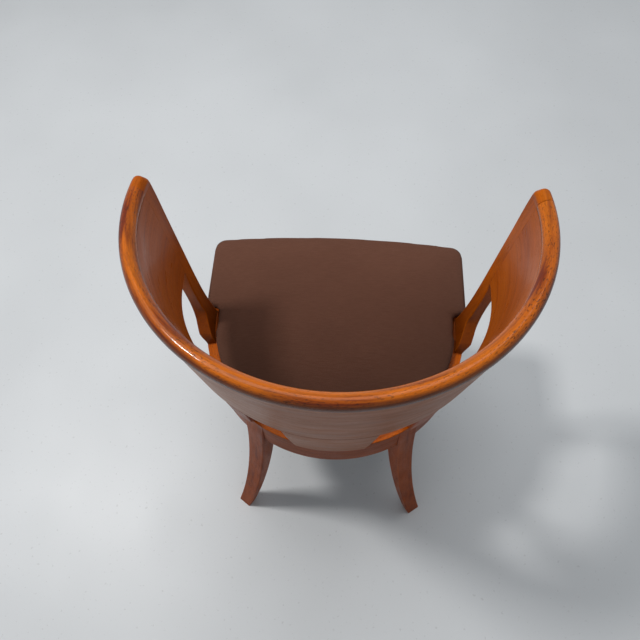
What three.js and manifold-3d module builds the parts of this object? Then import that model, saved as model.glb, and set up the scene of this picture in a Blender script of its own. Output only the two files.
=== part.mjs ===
// Klismos armchair: a barrel back in the form of a flared cone on a horseshoe seat frame.
// Millimetres, +Z up, front faces -Y, origin on the floor at the middle of the bounding box.
// Angles run from the middle of the back towards +X, around the upright axis of the back.

import * as THREE from 'three';
import { mergeVertices } from 'three/addons/utils/BufferGeometryUtils.js';
import Module from 'manifold-3d';

const wasm = await Module();
wasm.setup();

// Driving dimensions: general
const clearance = 0.3;             // glue line or running gap between touching pieces
const overrun = 2;                 // how far a cutting tool stands out of what it cuts

// Driving dimensions: seat frame
const railTop = 434;
const railHeight = 71;
const backRadius = 250;            // outer face of the back where its cone meets the frame's top
const backSetOut = 10;             // from the seat frame's outer face out to there
const railRadius = backRadius - backSetOut;
const railThickness = 26;
const rebateWidth = 8.7;           // step in the top inner edge that takes webbing and hessian
const frontDepth = 184;            // from the axis of the back to the front rail's middle
const frontBow = 14;               // how far the front rail bows out between the front legs
const tenonThickness = 12;
const tenonLength = 16;
const tenonHeight = 48;
const frontTenonLength = 12;

// Driving dimensions: barrel back
const backFlareShare = 0.154;      // growth of that radius for each unit of height
const backTuck = 4.5;              // how far the foot of the back draws in from that cone
const boardThickness = 21;
const crestTopHeight = 785;        // top of the crest beside the axis
const crestRiseShare = 0.07;       // climb of the crest for each unit of distance behind the axis
const archFoot = 588;              // lower edge of the crest board where it meets the arm support
const archRise = 18;               // from there to the crown of the side arch
const stileHeadHeight = 593;       // lower edge of the crest board over the rear stiles
const splatHeadHeight = 582;       // lower edge of the crest board over the back splat
const splatHeadAngle = 15.8;
const splatFootAngle = 14.2;
const boardJointAngle = 40;        // joints between the three boards of the crest
const capJointAngle = 52;          // joints between the three lengths of the crest cap

// Driving dimensions: crest cap, a rounded moulding on top of the boards
const capHeight = 18;
const capLip = 2;                  // overhang outside the board
const capInnerLip = 0.6;           // overhang inside the board
const capTongueWidth = 8;
const capTongueHeight = 6;
const capTipLowShare = 0.7;        // height left where the cap's tip has narrowed away

// Driving dimensions: rear legs, each one piece from the floor to the crest
const rearLegAngle = 34.4;         // place of the leg in the seat frame
const rearFootAngle = 38.5;        // place of its foot
const rearLegTurn = 35.4;          // direction that its broad face looks in
const rearLegSplay = 81.5;         // how far the foot stands outside the leg's head
const rearLegWidth = 39.7;
const rearFootWidth = 29.2;
const rearLegDepth = 40.4;
const rearFootDepth = 21.5;
const rearLegProud = 1.5;          // how far its face stands out of the seat frame
const stileHeadInnerAngle = 27.8;
const stileHeadOuterAngle = 35.5;
const stileFootInnerAngle = 34.5;
const stileFootOuterAngle = 39.2;
const stileFootThickness = 15.5;
const stileTuck = 11.5;            // how far the stile's foot draws in below the cone of the back
const stileTuckHeight = 111;       // height over which it does so
const stileTenonHeight = 18;
const stileTenonThickness = 9;
const stileTenonInnerAngle = 29.4;
const stileTenonOuterAngle = 34;

// Driving dimensions: front legs
const frontLegWidth = 34;
const frontFootWidth = 25;
const frontLegSetback = 13;        // from the front rail's middle back to the leg's front face
const frontLegSweep = 46;          // how far the foot stands forward of the head

// Driving dimensions: arm supports, each one piece from the seat frame to the arm's tip
const armReach = 47;               // how far the tip stands forward of the axis
const armFootLength = 74;
const armFootHeight = 23;          // from the seat frame up to the arris of its foot
const armWidth = 19;               // front to back where it runs beside the crest board
const armFootTuck = 5.5;           // undercut at its foot, from its face back to the seat frame
const armTipOverhang = 1.5;
const armTipRound = 8;
const armTenonLength = 36;
const armTenonDepth = 30;
const armTenonThickness = 6;
const armTenonSetbackShare = 0.33; // of its length, from the axis back to the tenon's middle

// Driving dimensions: back splat
const splatTenonThickness = 9;
const splatTenonDepth = 22;
const splatTenonHeight = 15;
const splatTenonAngle = 9;

// Driving dimensions: small joinery
const splineThickness = 6;
const splineLength = 30;
const splineHeight = 40;
const dowelDiameter = 8;
const dowelLength = 36;
const dowelInsetShare = 0.16;      // of the board's height, from its edges to the dowels
const blockThickness = 24;
const blockHeight = 42;
const blockDrop = 14;              // from the frame's top down to the corner blocks
const rearBlockReachAngle = 13;
const frontBlockReach = 58;
const screwLength = 34;
const screwDiameter = 4.5;
const screwHeadDiameter = 9;
const screwHeadHeight = 3.2;
const screwHeadRim = 0.6;

// Driving dimensions: upholstery
const strapThickness = 1.4;
const strapWidth = 50;
const strapSpacingShare = 0.32;    // of the frame's inside radius, between lengthwise straps
const hessianThickness = 0.9;
const coverOverhang = 5;           // cloth and padding outside the front part of the frame
const coverInset = 17.1;           // wood left bare between the cover and the frame's outer face
const coverNotchInset = 21;        // the same beside the arm supports
const coverNotchRearAngle = 82;
const coverCrown = 36;             // middle of the cover above the frame
const coverCornerRadius = 22;
const coverSkirtDrop = 34;         // how far the cover comes down the frame's outer face
const coverEaseLength = 92;        // over which the sides of its top come round to the front width
const dustCoverThickness = 1.2;
const dustInset = 5;

// Steps of the faceted surfaces
const arcStep = 4;
const roundSides = 12;

// Colours
const woodColour = 0xa8521f;
const paleWoodColour = 0xb98a5a;
const clothColour = 0x4a3630;
const hessianColour = 0xb09468;
const webbingColour = 0xc8b48c;
const dustColour = 0x2b2725;
const steelColour = 0xb9b4a8;

const polishedWood = { color: woodColour, roughness: 0.28, metalness: 0 };
const plainWood = { color: paleWoodColour, roughness: 0.7, metalness: 0 };
const cloth = { color: clothColour, roughness: 0.95, metalness: 0 };
const hessian = { color: hessianColour, roughness: 1, metalness: 0 };
const webbing = { color: webbingColour, roughness: 1, metalness: 0 };
const dustCloth = { color: dustColour, roughness: 1, metalness: 0 };
const steel = { color: steelColour, roughness: 0.35, metalness: 1 };

const chair = new THREE.Group();

// Small helpers
const both = [1, -1];
const sideName = (side) => (side > 0 ? 'left' : 'right');
const turn = THREE.MathUtils.degToRad;
const blend = (start, end, share) => start + (end - start) * share;

function polar(angle, radius, z) {
  return new THREE.Vector3(radius * Math.sin(turn(angle)), radius * Math.cos(turn(angle)), z);
}

// Evenly spaced values from start to end, no further apart than step
function spread(start, end, step) {
  const count = Math.max(1, Math.ceil(Math.abs(end - start) / step));
  return Array.from({ length: count + 1 }, (_, k) => start + ((end - start) * k) / count);
}

// Smooth curve through points given as [place, value]
function through(points) {
  const places = points.map((point) => point[0]);
  const values = points.map((point) => point[1]);
  const curve = new THREE.CubicInterpolant(places, values, 1);
  return (place) => curve.evaluate(place)[0];
}

function signedVolume(geometry) {
  const place = geometry.attributes.position;
  const corners = [new THREE.Vector3(), new THREE.Vector3(), new THREE.Vector3()];
  let sum = 0;
  for (let k = 0; k < geometry.index.count; k += 3) {
    corners.forEach((corner, i) => corner.fromBufferAttribute(place, geometry.index.getX(k + i)));
    sum += corners[0].dot(corners[1].clone().cross(corners[2])) / 6;
  }
  return sum;
}

function facingOut(geometry) {
  if (signedVolume(geometry) < 0) {
    const index = geometry.index;
    for (let k = 0; k < index.count; k += 3) {
      const second = index.getX(k + 1);
      index.setX(k + 1, index.getX(k + 2));
      index.setX(k + 2, second);
    }
  }
  return geometry;
}

// Triangles that close a flat ring of points
function capFaces(ring) {
  const normal = new THREE.Vector3();
  ring.forEach((point, k) => {
    const next = ring[(k + 1) % ring.length];
    normal.add(point.clone().cross(next));
  });
  normal.normalize();
  const across = ring[1].clone().sub(ring[0]).normalize();
  const up = normal.clone().cross(across);
  const flat = ring.map((point) => new THREE.Vector2(point.dot(across), point.dot(up)));
  return THREE.ShapeUtils.triangulateShape(flat, []);
}

// Closed solid through a row of rings that all have the same number of points
function loft(rings) {
  const count = rings[0].length;
  const index = [];
  for (let row = 0; row + 1 < rings.length; row += 1) {
    for (let k = 0; k < count; k += 1) {
      const a = row * count + k;
      const b = row * count + ((k + 1) % count);
      index.push(a, b, b + count, a, b + count, a + count);
    }
  }
  const last = (rings.length - 1) * count;
  capFaces(rings[0]).forEach(([a, b, c]) => index.push(a, c, b));
  capFaces(rings[rings.length - 1]).forEach(([a, b, c]) => index.push(last + a, last + b, last + c));
  const geometry = new THREE.BufferGeometry().setFromPoints(rings.flat());
  geometry.setIndex(index);
  return facingOut(geometry);
}

// Manifold solids, for joints that are cut or added
function toSolid(geometry) {
  const plain = geometry.clone();
  plain.deleteAttribute('normal');
  plain.deleteAttribute('uv');
  const merged = mergeVertices(plain);
  return new wasm.Manifold(new wasm.Mesh({
    numProp: 3,
    vertProperties: merged.attributes.position.array,
    triVerts: merged.index.array,
  }));
}

function fromSolid(solid) {
  const mesh = solid.getMesh();
  const geometry = new THREE.BufferGeometry();
  geometry.setAttribute('position', new THREE.BufferAttribute(mesh.vertProperties, 3));
  geometry.setIndex(new THREE.BufferAttribute(mesh.triVerts, 1));
  return geometry;
}

function cut(geometry, tools) {
  const body = tools.reduce((solid, tool) => solid.subtract(toSolid(tool)), toSolid(geometry));
  return fromSolid(body);
}

function join(geometry, additions) {
  const body = additions.reduce((solid, piece) => solid.add(toSolid(piece)), toSolid(geometry));
  return fromSolid(body);
}

function mirrored(geometry, side) {
  const copy = geometry.clone();
  copy.scale(side, 1, 1);
  return facingOut(copy);
}

function place(name, geometry, finish) {
  const body = geometry.clone();
  body.computeVertexNormals();
  const mesh = new THREE.Mesh(body, new THREE.MeshStandardMaterial({ ...finish }));
  mesh.name = name;
  chair.add(mesh);
}

function placeRow(name, geometries, finish) {
  geometries.forEach((geometry, k) => place(`${name}_${k + 1}`, geometry, finish));
}

// Stations of a path that pieces are swept along: a foot point and an outward direction
const arcStation = (angle) => ({
  foot: new THREE.Vector2(0, 0),
  out: new THREE.Vector2(Math.sin(turn(angle)), Math.cos(turn(angle))),
});
const sideStation = (forward) => ({
  foot: new THREE.Vector2(0, -forward),
  out: new THREE.Vector2(1, 0),
});

// A section is a list of [distance out, height]
function sweep(stations, sectionAt) {
  return loft(stations.map((station, k) => sectionAt(station, k).map(([distance, height]) => (
    new THREE.Vector3(
      station.foot.x + station.out.x * distance,
      station.foot.y + station.out.y * distance,
      height,
    )))));
}

const arcSweep = (angles, sectionAt) => sweep(
  angles.map(arcStation),
  (station, k) => sectionAt(angles[k]),
);

const box = (low, high, bottom, top) => [[high, bottom], [high, top], [low, top], [low, bottom]];

// The barrel back
const coneRadius = (z) => backRadius + backFlareShare * (z - railTop);
const drawnIn = (z, tuckDepth, tuckHeight) => coneRadius(z)
  - tuckDepth * (Math.max(0, railTop + tuckHeight - z) / tuckHeight) ** 2;
const shellRadius = (z) => drawnIn(z, backTuck, splatHeadHeight - railTop);
const stileRadius = (z) => drawnIn(z, stileTuck, stileTuckHeight);
const crestTop = (angle) => crestTopHeight
  + crestRiseShare * shellRadius(crestTopHeight) * Math.cos(turn(angle));
const capFoot = (angle) => crestTop(angle) - capHeight;

const slotShares = [[splatHeadAngle, 0], [19, 0.2], [23, 0.62], [stileHeadInnerAngle, 1]];
const slotHead = through(slotShares);
const archEndAngle = 91;
const archShares = [
  [stileHeadOuterAngle, 0.28], [41, 0.6], [47, 0.84], [54, 0.98], [60, 1], [66, 0.93], [72, 0.73],
  [78, 0.45], [84, 0.18], [archEndAngle, 0],
];
const archHead = through(archShares);

function boardFoot(angle) {
  const off = Math.abs(angle);
  if (off <= splatHeadAngle) return splatHeadHeight;
  if (off < stileHeadInnerAngle) {
    return splatHeadHeight + (stileHeadHeight - splatHeadHeight) * slotHead(off);
  }
  if (off <= stileHeadOuterAngle) return stileHeadHeight;
  return archFoot + archRise * archHead(Math.min(off, archEndAngle));
}

// Arm support outlines: shares of the height from the seat frame to the crest top
const armHeight = crestTopHeight - railTop;
const frontEdgeShares = [
  [0, 0.375], [0.05, 0.35], [0.2, 0.375], [0.31, 0.456], [0.45, 0.575], [0.6, 0.7],
  [0.74, 0.813], [0.87, 0.926], [1, 1],
];
const innerDepthShares = [
  [0, 0.992], [0.065, 0.877], [0.088, 0.722], [0.112, 0.560], [0.14, 0.439], [0.19, 0.417],
  [0.24, 0.407], [0.32, 0.401], [0.4, 0.365], [0.455, 0.334], [0.6, 0.325], [0.8, 0.323],
  [1, 0.338],
];
const outerDepthShares = [
  [0, 0.965], [0.065, 0.845], [0.088, 0.700], [0.112, 0.553], [0.14, 0.476], [0.19, 0.390],
  [0.24, 0.353], [0.32, 0.351], [0.4, 0.347], [0.455, 0.334], [0.6, 0.325], [0.8, 0.323],
  [1, 0.338],
];
const frontEdge = through(frontEdgeShares);
const innerDepth = through(innerDepthShares);
const outerDepth = through(outerDepthShares);
const armShare = (z) => (z - railTop) / armHeight;
const armFront = (z) => armReach * frontEdge(armShare(z));
const innerShare = (z) => 1 - boardThickness / shellRadius(z);
const armInnerRear = (z) => (armFront(z) - armFootLength * innerDepth(armShare(z))) * innerShare(z);
const armOuterRear = (z) => armFront(z) - armFootLength * outerDepth(armShare(z));

// Crest boards: three lengths of one barrel, with a tongue along the top for the cap
function boardSection(angle) {
  const bottom = boardFoot(angle);
  const top = capFoot(angle) - clearance;
  const outerFoot = shellRadius(bottom);
  const outerHead = shellRadius(top);
  const tongueOuter = outerHead - (boardThickness - capTongueWidth) / 2;
  const tongueTop = top + capTongueHeight;
  return [
    [outerFoot, bottom],
    [outerHead, top],
    [tongueOuter, top],
    [tongueOuter, tongueTop],
    [tongueOuter - capTongueWidth, tongueTop],
    [tongueOuter - capTongueWidth, top],
    [outerHead - boardThickness, top],
    [outerFoot - boardThickness, bottom],
  ];
}

const shellMiddle = (z) => shellRadius(z) - boardThickness / 2;
const plugSection = (thickness, low, high, grow) => [
  [shellMiddle(low) + thickness / 2 + grow, low],
  [shellMiddle(high) + thickness / 2 + grow, high],
  [shellMiddle(high) - thickness / 2 - grow, high],
  [shellMiddle(low) - thickness / 2 - grow, low],
];

// Heights of the arm support's sections
const tipMiddleAngle = 95;         // about the middle of the arm support's own length of cap
const seamHeight = capFoot(tipMiddleAngle);
const armHeadShare = 0.2;
const armCurveShare = 3;           // of the foot's height, up to where its rear edge runs straight
const armCurveTop = railTop + armFootHeight * armCurveShare;
const armHeights = [
  ...spread(railTop + clearance, railTop + armFootHeight, armFootHeight / 3),
  ...spread(railTop + armFootHeight, armCurveTop, armFootHeight / 3).slice(1),
  ...spread(armCurveTop, archFoot, armWidth).slice(1),
  ...spread(archFoot, seamHeight + capHeight * armHeadShare, armWidth).slice(1),
];

// Solid of the arm support's rear face and all that lies forward of it, to trim the boards
function armTrimmer() {
  const heights = armHeights.filter((z) => z > archFoot - armWidth);
  return loft([...heights, crestTopHeight + capHeight].map((z) => {
    const level = Math.min(z, crestTopHeight);
    const outer = shellRadius(level) + overrun;
    const inner = shellRadius(level) - boardThickness - overrun;
    const rearOuter = -armOuterRear(level) + clearance;
    const rearInner = -armInnerRear(level) + clearance;
    const front = -armReach - armFootLength;
    return [
      new THREE.Vector3(Math.sqrt(outer ** 2 - rearOuter ** 2), rearOuter, z),
      new THREE.Vector3(outer, front, z),
      new THREE.Vector3(inner / 2, front, z),
      new THREE.Vector3(Math.sqrt(inner ** 2 - rearInner ** 2), rearInner, z),
    ];
  }));
}

// Loose spline that ties two crest boards together, standing in a groove in both ends
function spline(grow) {
  const reach = THREE.MathUtils.radToDeg((splineLength / 2 + grow) / backRadius);
  const middle = (boardFoot(boardJointAngle) + capFoot(boardJointAngle)) / 2;
  const low = middle - splineHeight / 2 - grow;
  const high = middle + splineHeight / 2 + grow;
  return arcSweep(
    spread(boardJointAngle - reach, boardJointAngle + reach, arcStep),
    () => plugSection(splineThickness, low, high, grow),
  );
}

// Dowels that tie the arm support to the crest board
function armDowels(grow) {
  const low = blend(archFoot, capFoot(90), dowelInsetShare);
  const high = blend(capFoot(90), archFoot, dowelInsetShare);
  return [low, high].map((z) => {
    const forward = (armInnerRear(z) + armOuterRear(z)) / 2;
    const middle = new THREE.Vector3(Math.sqrt(shellMiddle(z) ** 2 - forward ** 2), -forward, z);
    const dowel = new THREE.CylinderGeometry(
      dowelDiameter / 2 + grow,
      dowelDiameter / 2 + grow,
      dowelLength + 2 * grow,
      roundSides,
    );
    dowel.rotateZ(-Math.asin(forward / shellMiddle(z)));
    dowel.translate(middle.x, middle.y, middle.z);
    return dowel;
  });
}

// Rear legs and stiles
const railMiddle = railRadius - railThickness / 2;
const railFoot = railTop - railHeight;
const legPower = 1.55;
const legTurnPower = 2.6;
const legDrop = (z) => Math.max(railTop - z, 0) / railTop;

function rearLegRing(z, grow) {
  const drop = legDrop(z);
  const width = blend(rearLegWidth, rearFootWidth, drop) + 2 * grow;
  const depth = blend(rearLegDepth, rearFootDepth, drop) + 2 * grow;
  const head = railRadius + rearLegProud - rearLegDepth / 2;
  const middle = polar(
    blend(rearLegAngle, rearFootAngle, drop ** legTurnPower),
    head + rearLegSplay * drop ** legPower,
    z,
  );
  const out = polar(rearLegTurn, 1, 0);
  const along = polar(rearLegTurn + 90, 1, 0);
  const corner = (outShare, alongShare) => middle.clone()
    .addScaledVector(out, outShare * depth)
    .addScaledVector(along, alongShare * width);
  return [
    corner(0.5, -0.5), corner(0.5, 0), corner(0.5, 0.5),
    corner(-0.5, 0.5), corner(-0.5, 0), corner(-0.5, -0.5),
  ];
}

const stileOuterShares = [[0, 1], [0.3, 0.8], [0.52, 0.45], [0.66, 0.22], [0.8, 0.08], [1, 0]];
const stileInnerShares = [[0, 1], [0.2, 0.7], [0.45, 0.25], [0.65, 0.04], [1, 0]];
const stileOuterFlare = through(stileOuterShares);
const stileInnerFlare = through(stileInnerShares);

function stileRing(z, inner, outer, thickness, setback) {
  const face = stileRadius(z) - setback;
  const middle = (inner + outer) / 2;
  return [
    polar(inner, face, z), polar(middle, face, z), polar(outer, face, z),
    polar(outer, face - thickness, z), polar(middle, face - thickness, z),
    polar(inner, face - thickness, z),
  ];
}

function stileAt(z) {
  const share = (z - railTop) / (stileHeadHeight - railTop);
  const outer = blend(stileHeadOuterAngle, stileFootOuterAngle, stileOuterFlare(share));
  const inner = blend(stileHeadInnerAngle, stileFootInnerAngle, stileInnerFlare(share));
  return stileRing(z, inner, outer, blend(stileFootThickness, boardThickness, share), 0);
}

function stileTenonRing(z, grow) {
  const growAngle = THREE.MathUtils.radToDeg(grow / backRadius);
  return stileRing(
    z,
    stileTenonInnerAngle - growAngle,
    stileTenonOuterAngle + growAngle,
    stileTenonThickness + 2 * grow,
    (boardThickness - stileTenonThickness) / 2 - grow,
  );
}

function stileTenon(grow) {
  const shoulder = stileHeadHeight - overrun;
  const head = stileHeadHeight + stileTenonHeight + grow;
  return loft([stileTenonRing(shoulder, grow), stileTenonRing(head, grow)]);
}

// Heights of the legs' sections, and of the cutters that let the legs into the rails
const legStep = railTop / 14;
const legHeights = spread(0, railTop, legStep);
const legToolHeights = [...legHeights.filter((z) => z > railFoot - legStep), railTop + overrun];

function rearLegBlank() {
  const below = legHeights.map((z) => rearLegRing(z, 0));
  const head = stileHeadHeight - clearance;
  const above = spread(railTop, head, (head - railTop) / 8).map(stileAt);
  const tenon = [
    stileTenonRing(head, 0),
    stileTenonRing(stileHeadHeight + stileTenonHeight, 0),
  ];
  return loft([...below, ...above, ...tenon]);
}

const rearLegTool = () => loft(legToolHeights.map((z) => rearLegRing(z, clearance)));

// Front legs
const frontLegFace = frontDepth - frontLegSetback;
const frontLegPower = 2;
const frontCornerShare = 0.48;

function frontLegRing(z, grow) {
  const drop = legDrop(z);
  const width = blend(frontLegWidth, frontFootWidth, drop);
  const sweepOut = frontLegSweep * drop ** frontLegPower;
  const middleX = railRadius - frontLegWidth / 2;
  const middleY = -(frontLegFace - frontLegWidth / 2 + sweepOut);
  const half = width / 2 + grow;
  const corner = frontCornerShare * width + grow;
  const arc = spread(0, 90, 18).map((angle) => new THREE.Vector3(
    middleX + half - corner + corner * Math.cos(turn(angle)),
    middleY - half + corner - corner * Math.sin(turn(angle)),
    z,
  ));
  return [
    new THREE.Vector3(middleX - half, middleY + half, z),
    new THREE.Vector3(middleX + half, middleY + half, z),
    ...arc,
    new THREE.Vector3(middleX - half, middleY - half, z),
  ];
}

// Seat frame outline, set in from the outer face by a given amount
const bowRadius = (railMiddle ** 2 + frontBow ** 2) / (2 * frontBow);
const bowCentre = bowRadius - frontDepth;
const bowReach = (x, inset) => Math.sqrt((bowRadius - inset) ** 2 - x ** 2) - bowCentre;

function seatOutline(inset) {
  const radius = railRadius - inset;
  const back = spread(90, -90, arcStep).map((angle) => polar(angle, radius, 0));
  const front = spread(-radius, radius, radius / 5);
  return [
    ...back.map((point) => new THREE.Vector2(point.x, point.y)),
    ...front.map((x) => new THREE.Vector2(x, -bowReach(x, inset))),
  ];
}

function slab(outline, bottom, top) {
  const shape = new THREE.Shape(outline);
  const geometry = new THREE.ExtrudeGeometry(shape, { depth: top - bottom, bevelEnabled: false });
  geometry.translate(0, 0, bottom);
  geometry.deleteAttribute('normal');
  geometry.deleteAttribute('uv');
  return facingOut(mergeVertices(geometry));
}

const rebateDepth = 2 * strapThickness + hessianThickness + 3 * clearance;
const rebateFloor = railTop - rebateDepth;
const rebateTool = slab(seatOutline(railThickness - rebateWidth), rebateFloor, railTop + overrun);

// Seat frame rails with their tenons
const railSection = () => box(railRadius - railThickness, railRadius, railFoot, railTop);
const tenonLow = railFoot + (railHeight - tenonHeight) / 2;
const tenonSection = (grow) => box(
  railMiddle - tenonThickness / 2 - grow,
  railMiddle + tenonThickness / 2 + grow,
  tenonLow - grow,
  tenonLow + tenonHeight + grow,
);
const tenonTurn = (length) => THREE.MathUtils.radToDeg(length / railMiddle);
const legInnerAngle = rearLegAngle - tenonTurn(rearLegWidth / 2);
const legOuterAngle = rearLegAngle + tenonTurn(rearLegWidth / 2);
const rootTurn = tenonTurn(overrun * 2);

function backRailTenon(side, grow) {
  const end = legInnerAngle + tenonTurn(tenonLength + grow);
  return mirrored(
    arcSweep(spread(legInnerAngle - rootTurn, end, arcStep), () => tenonSection(grow)),
    side,
  );
}

function sideRailRearTenon(grow) {
  const end = legOuterAngle - tenonTurn(tenonLength + grow);
  return arcSweep(spread(end, legOuterAngle + rootTurn, arcStep), () => tenonSection(grow));
}

const sideRailReach = frontLegFace - frontLegWidth;
const sideRailFrontTenon = (grow) => sweep(
  [sideStation(sideRailReach - overrun * 2), sideStation(sideRailReach + tenonLength + grow)],
  () => tenonSection(grow),
);

const bowStation = (x) => ({
  foot: new THREE.Vector2(0, bowCentre),
  out: new THREE.Vector2(x / bowRadius, -Math.sqrt(1 - (x / bowRadius) ** 2)),
});
const frontRailEnd = railRadius - frontLegWidth;

function frontRailTenon(side, grow) {
  const stations = [frontRailEnd - overrun * 2, frontRailEnd + frontTenonLength + grow];
  const middle = bowRadius - railThickness / 2;
  return mirrored(sweep(stations.map(bowStation), () => box(
    middle - tenonThickness / 2 - grow,
    middle + tenonThickness / 2 + grow,
    tenonLow - grow,
    tenonLow + tenonHeight + grow,
  )), side);
}

// Tenons under the splat and the arm supports
const footTenonRadius = railRadius - armTenonThickness;
function splatFootTenon(grow) {
  const reach = splatTenonAngle + tenonTurn(grow);
  const inner = footTenonRadius - armTenonThickness / 2 - grow;
  return arcSweep(spread(-reach, reach, arcStep), () => box(
    inner,
    inner + armTenonThickness + 2 * grow,
    railTop - splatTenonDepth - grow,
    railTop + overrun,
  ));
}

function splatHeadTenon(grow) {
  const reach = splatTenonAngle + tenonTurn(grow);
  return arcSweep(spread(-reach, reach, arcStep), () => plugSection(
    splatTenonThickness,
    splatHeadHeight - overrun,
    splatHeadHeight + splatTenonHeight + grow,
    grow,
  ));
}

function armFootTenon(grow) {
  const rear = Math.asin((armTenonLength / 2 + grow) / footTenonRadius);
  const reach = THREE.MathUtils.radToDeg(rear);
  const back = THREE.MathUtils.radToDeg(armTenonLength / footTenonRadius);
  const middle = 90 - armTenonSetbackShare * back;
  const inner = footTenonRadius - armTenonThickness / 2 - grow;
  return arcSweep(spread(middle - reach, middle + reach, arcStep), () => box(
    inner,
    inner + armTenonThickness + 2 * grow,
    railTop - armTenonDepth - grow,
    railTop + overrun,
  ));
}

// Crest cap
const capWidth = capLip + boardThickness + capInnerLip;
const capShares = [
  [0.06, 0], [0, 0.1], [0, 0.34], [0.03, 0.56], [0.1, 0.76], [0.2, 0.9], [0.33, 0.98], [0.46, 1],
  [0.6, 0.95], [0.73, 0.84], [0.85, 0.68], [0.95, 0.48], [1, 0.28], [1, 0.1], [0.96, 0],
];

function capSection(angle, narrowShare) {
  const foot = capFoot(angle);
  const outer = shellRadius(foot) + capLip;
  const middle = outer - capWidth / 2;
  return capShares.map(([across, up]) => [
    middle + (0.5 - across) * capWidth * narrowShare,
    foot + up * capHeight * blend(capTipLowShare, 1, narrowShare),
  ]);
}

function groovedCapSection(angle) {
  const foot = capFoot(angle);
  const middle = shellRadius(foot) - boardThickness / 2;
  const reach = capTongueWidth / 2 + clearance;
  const head = foot + capTongueHeight + clearance;
  return [
    ...capSection(angle, 1),
    [middle - reach, foot], [middle - reach, head], [middle + reach, head], [middle + reach, foot],
  ];
}

const boardEndAngle = 98;          // past the arm support's rear face, where the board is trimmed
const forwardAngle = (forward) => 90
  + THREE.MathUtils.radToDeg(Math.asin(forward / shellRadius(seamHeight)));
const seamAngle = forwardAngle(armOuterRear(seamHeight));
const tipAngle = forwardAngle(armReach + armTipOverhang);
const gapTurn = THREE.MathUtils.radToDeg(clearance / backRadius);

function capTip() {
  const roundTurn = THREE.MathUtils.radToDeg(armTipRound / shellRadius(seamHeight));
  const straight = spread(seamAngle, tipAngle - roundTurn, 1);
  const easing = spread(15, 78, 21);
  const rounded = easing.map((angle) => tipAngle - roundTurn * (1 - Math.sin(turn(angle))));
  const narrows = [...straight.map(() => 1), ...easing.map((angle) => Math.cos(turn(angle)))];
  const angles = [...straight, ...rounded];
  return sweep(angles.map(arcStation), (station, k) => capSection(angles[k], narrows[k]));
}

// Arm supports
const tuckShares = [[0, 1], [0.3, 0.72], [0.6, 0.42], [1, 0]];
const tuck = through(tuckShares);

function armRing(z) {
  const lift = (z - railTop) / armFootHeight;
  const outer = shellRadius(z) - armFootTuck * (lift < 1 ? tuck(lift) : 0);
  const inner = shellRadius(z) - boardThickness;
  const point = (radius, y) => new THREE.Vector3(Math.sqrt(radius ** 2 - y ** 2), y, z);
  const front = -armFront(z);
  const rearOuter = -armOuterRear(z);
  const rearInner = -armInnerRear(z);
  return [
    point(outer, rearOuter), point(outer, (rearOuter + front) / 2), point(outer, front),
    point(inner, front), point(inner, (rearInner + front) / 2), point(inner, rearInner),
  ];
}

function armSupport() {
  const post = loft(armHeights.map(armRing));
  return cut(join(post, [capTip(), armFootTenon(0)]), armDowels(clearance));
}

// Back splat
function splatBlank() {
  const heights = spread(railTop + clearance, splatHeadHeight - clearance, armWidth * 2);
  return loft(heights.map((z) => {
    const share = (z - railTop) / (splatHeadHeight - railTop);
    const reach = blend(splatFootAngle, splatHeadAngle, share);
    const outer = spread(-reach, reach, reach / 4).map((angle) => polar(angle, shellRadius(z), z));
    const inner = spread(reach, -reach, reach / 4).map((angle) => (
      polar(angle, shellRadius(z) - boardThickness, z)));
    return [...outer, ...inner];
  }));
}

// Corner blocks with their screws
const blockTop = railTop - blockDrop;
const blockFoot = blockTop - blockHeight;
const blockFace = railRadius - railThickness - clearance * 2;
const blockMiddle = (blockTop + blockFoot) / 2;

// With a lead the shape becomes the cutter for the screw's hole, open towards the driver
function screwAt(position, direction, grow, lead) {
  const head = screwHeadDiameter / 2 + grow;
  const shank = screwDiameter / 2 + grow;
  const profile = [
    [0, -lead], [head, -lead], [head, screwHeadRim], [shank, screwHeadHeight],
    [shank, screwLength - screwDiameter], [0, screwLength + grow],
  ];
  const shape = new THREE.LatheGeometry(profile.map((pair) => new THREE.Vector2(...pair)), roundSides);
  const toward = new THREE.Quaternion().setFromUnitVectors(new THREE.Vector3(0, 1, 0), direction);
  shape.applyQuaternion(toward);
  shape.translate(position.x, position.y, position.z);
  return shape;
}

const screwLead = overrun * 4;
const rearScrewTurn = (tenonTurn(rearLegWidth / 2) + rearBlockReachAngle) / 2;
const rearScrewPlaces = [-1, 1].map((way) => rearLegAngle + way * rearScrewTurn);
const rearScrews = (grow, lead) => rearScrewPlaces.map((angle) => screwAt(
  polar(angle, blockFace - blockThickness + clearance, blockMiddle),
  polar(angle, 1, 0),
  grow,
  lead,
));

const frontBlockInner = railRadius - frontLegWidth - clearance;
const frontBlockRear = sideRailReach - frontBlockReach;
const frontBlockEnd = frontBlockInner - frontBlockReach + railThickness - frontLegWidth;
const railInner = (x) => bowReach(x, railThickness + clearance * 2);
const frontBlockOutline = [
  new THREE.Vector2(blockFace, -frontBlockRear),
  new THREE.Vector2(blockFace, -sideRailReach + clearance),
  new THREE.Vector2(frontBlockInner, -sideRailReach + clearance),
  new THREE.Vector2(frontBlockInner, -railInner(frontBlockInner)),
  new THREE.Vector2(frontBlockEnd, -railInner(frontBlockEnd)),
];
const frontScrewInsetShare = 0.3;

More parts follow.
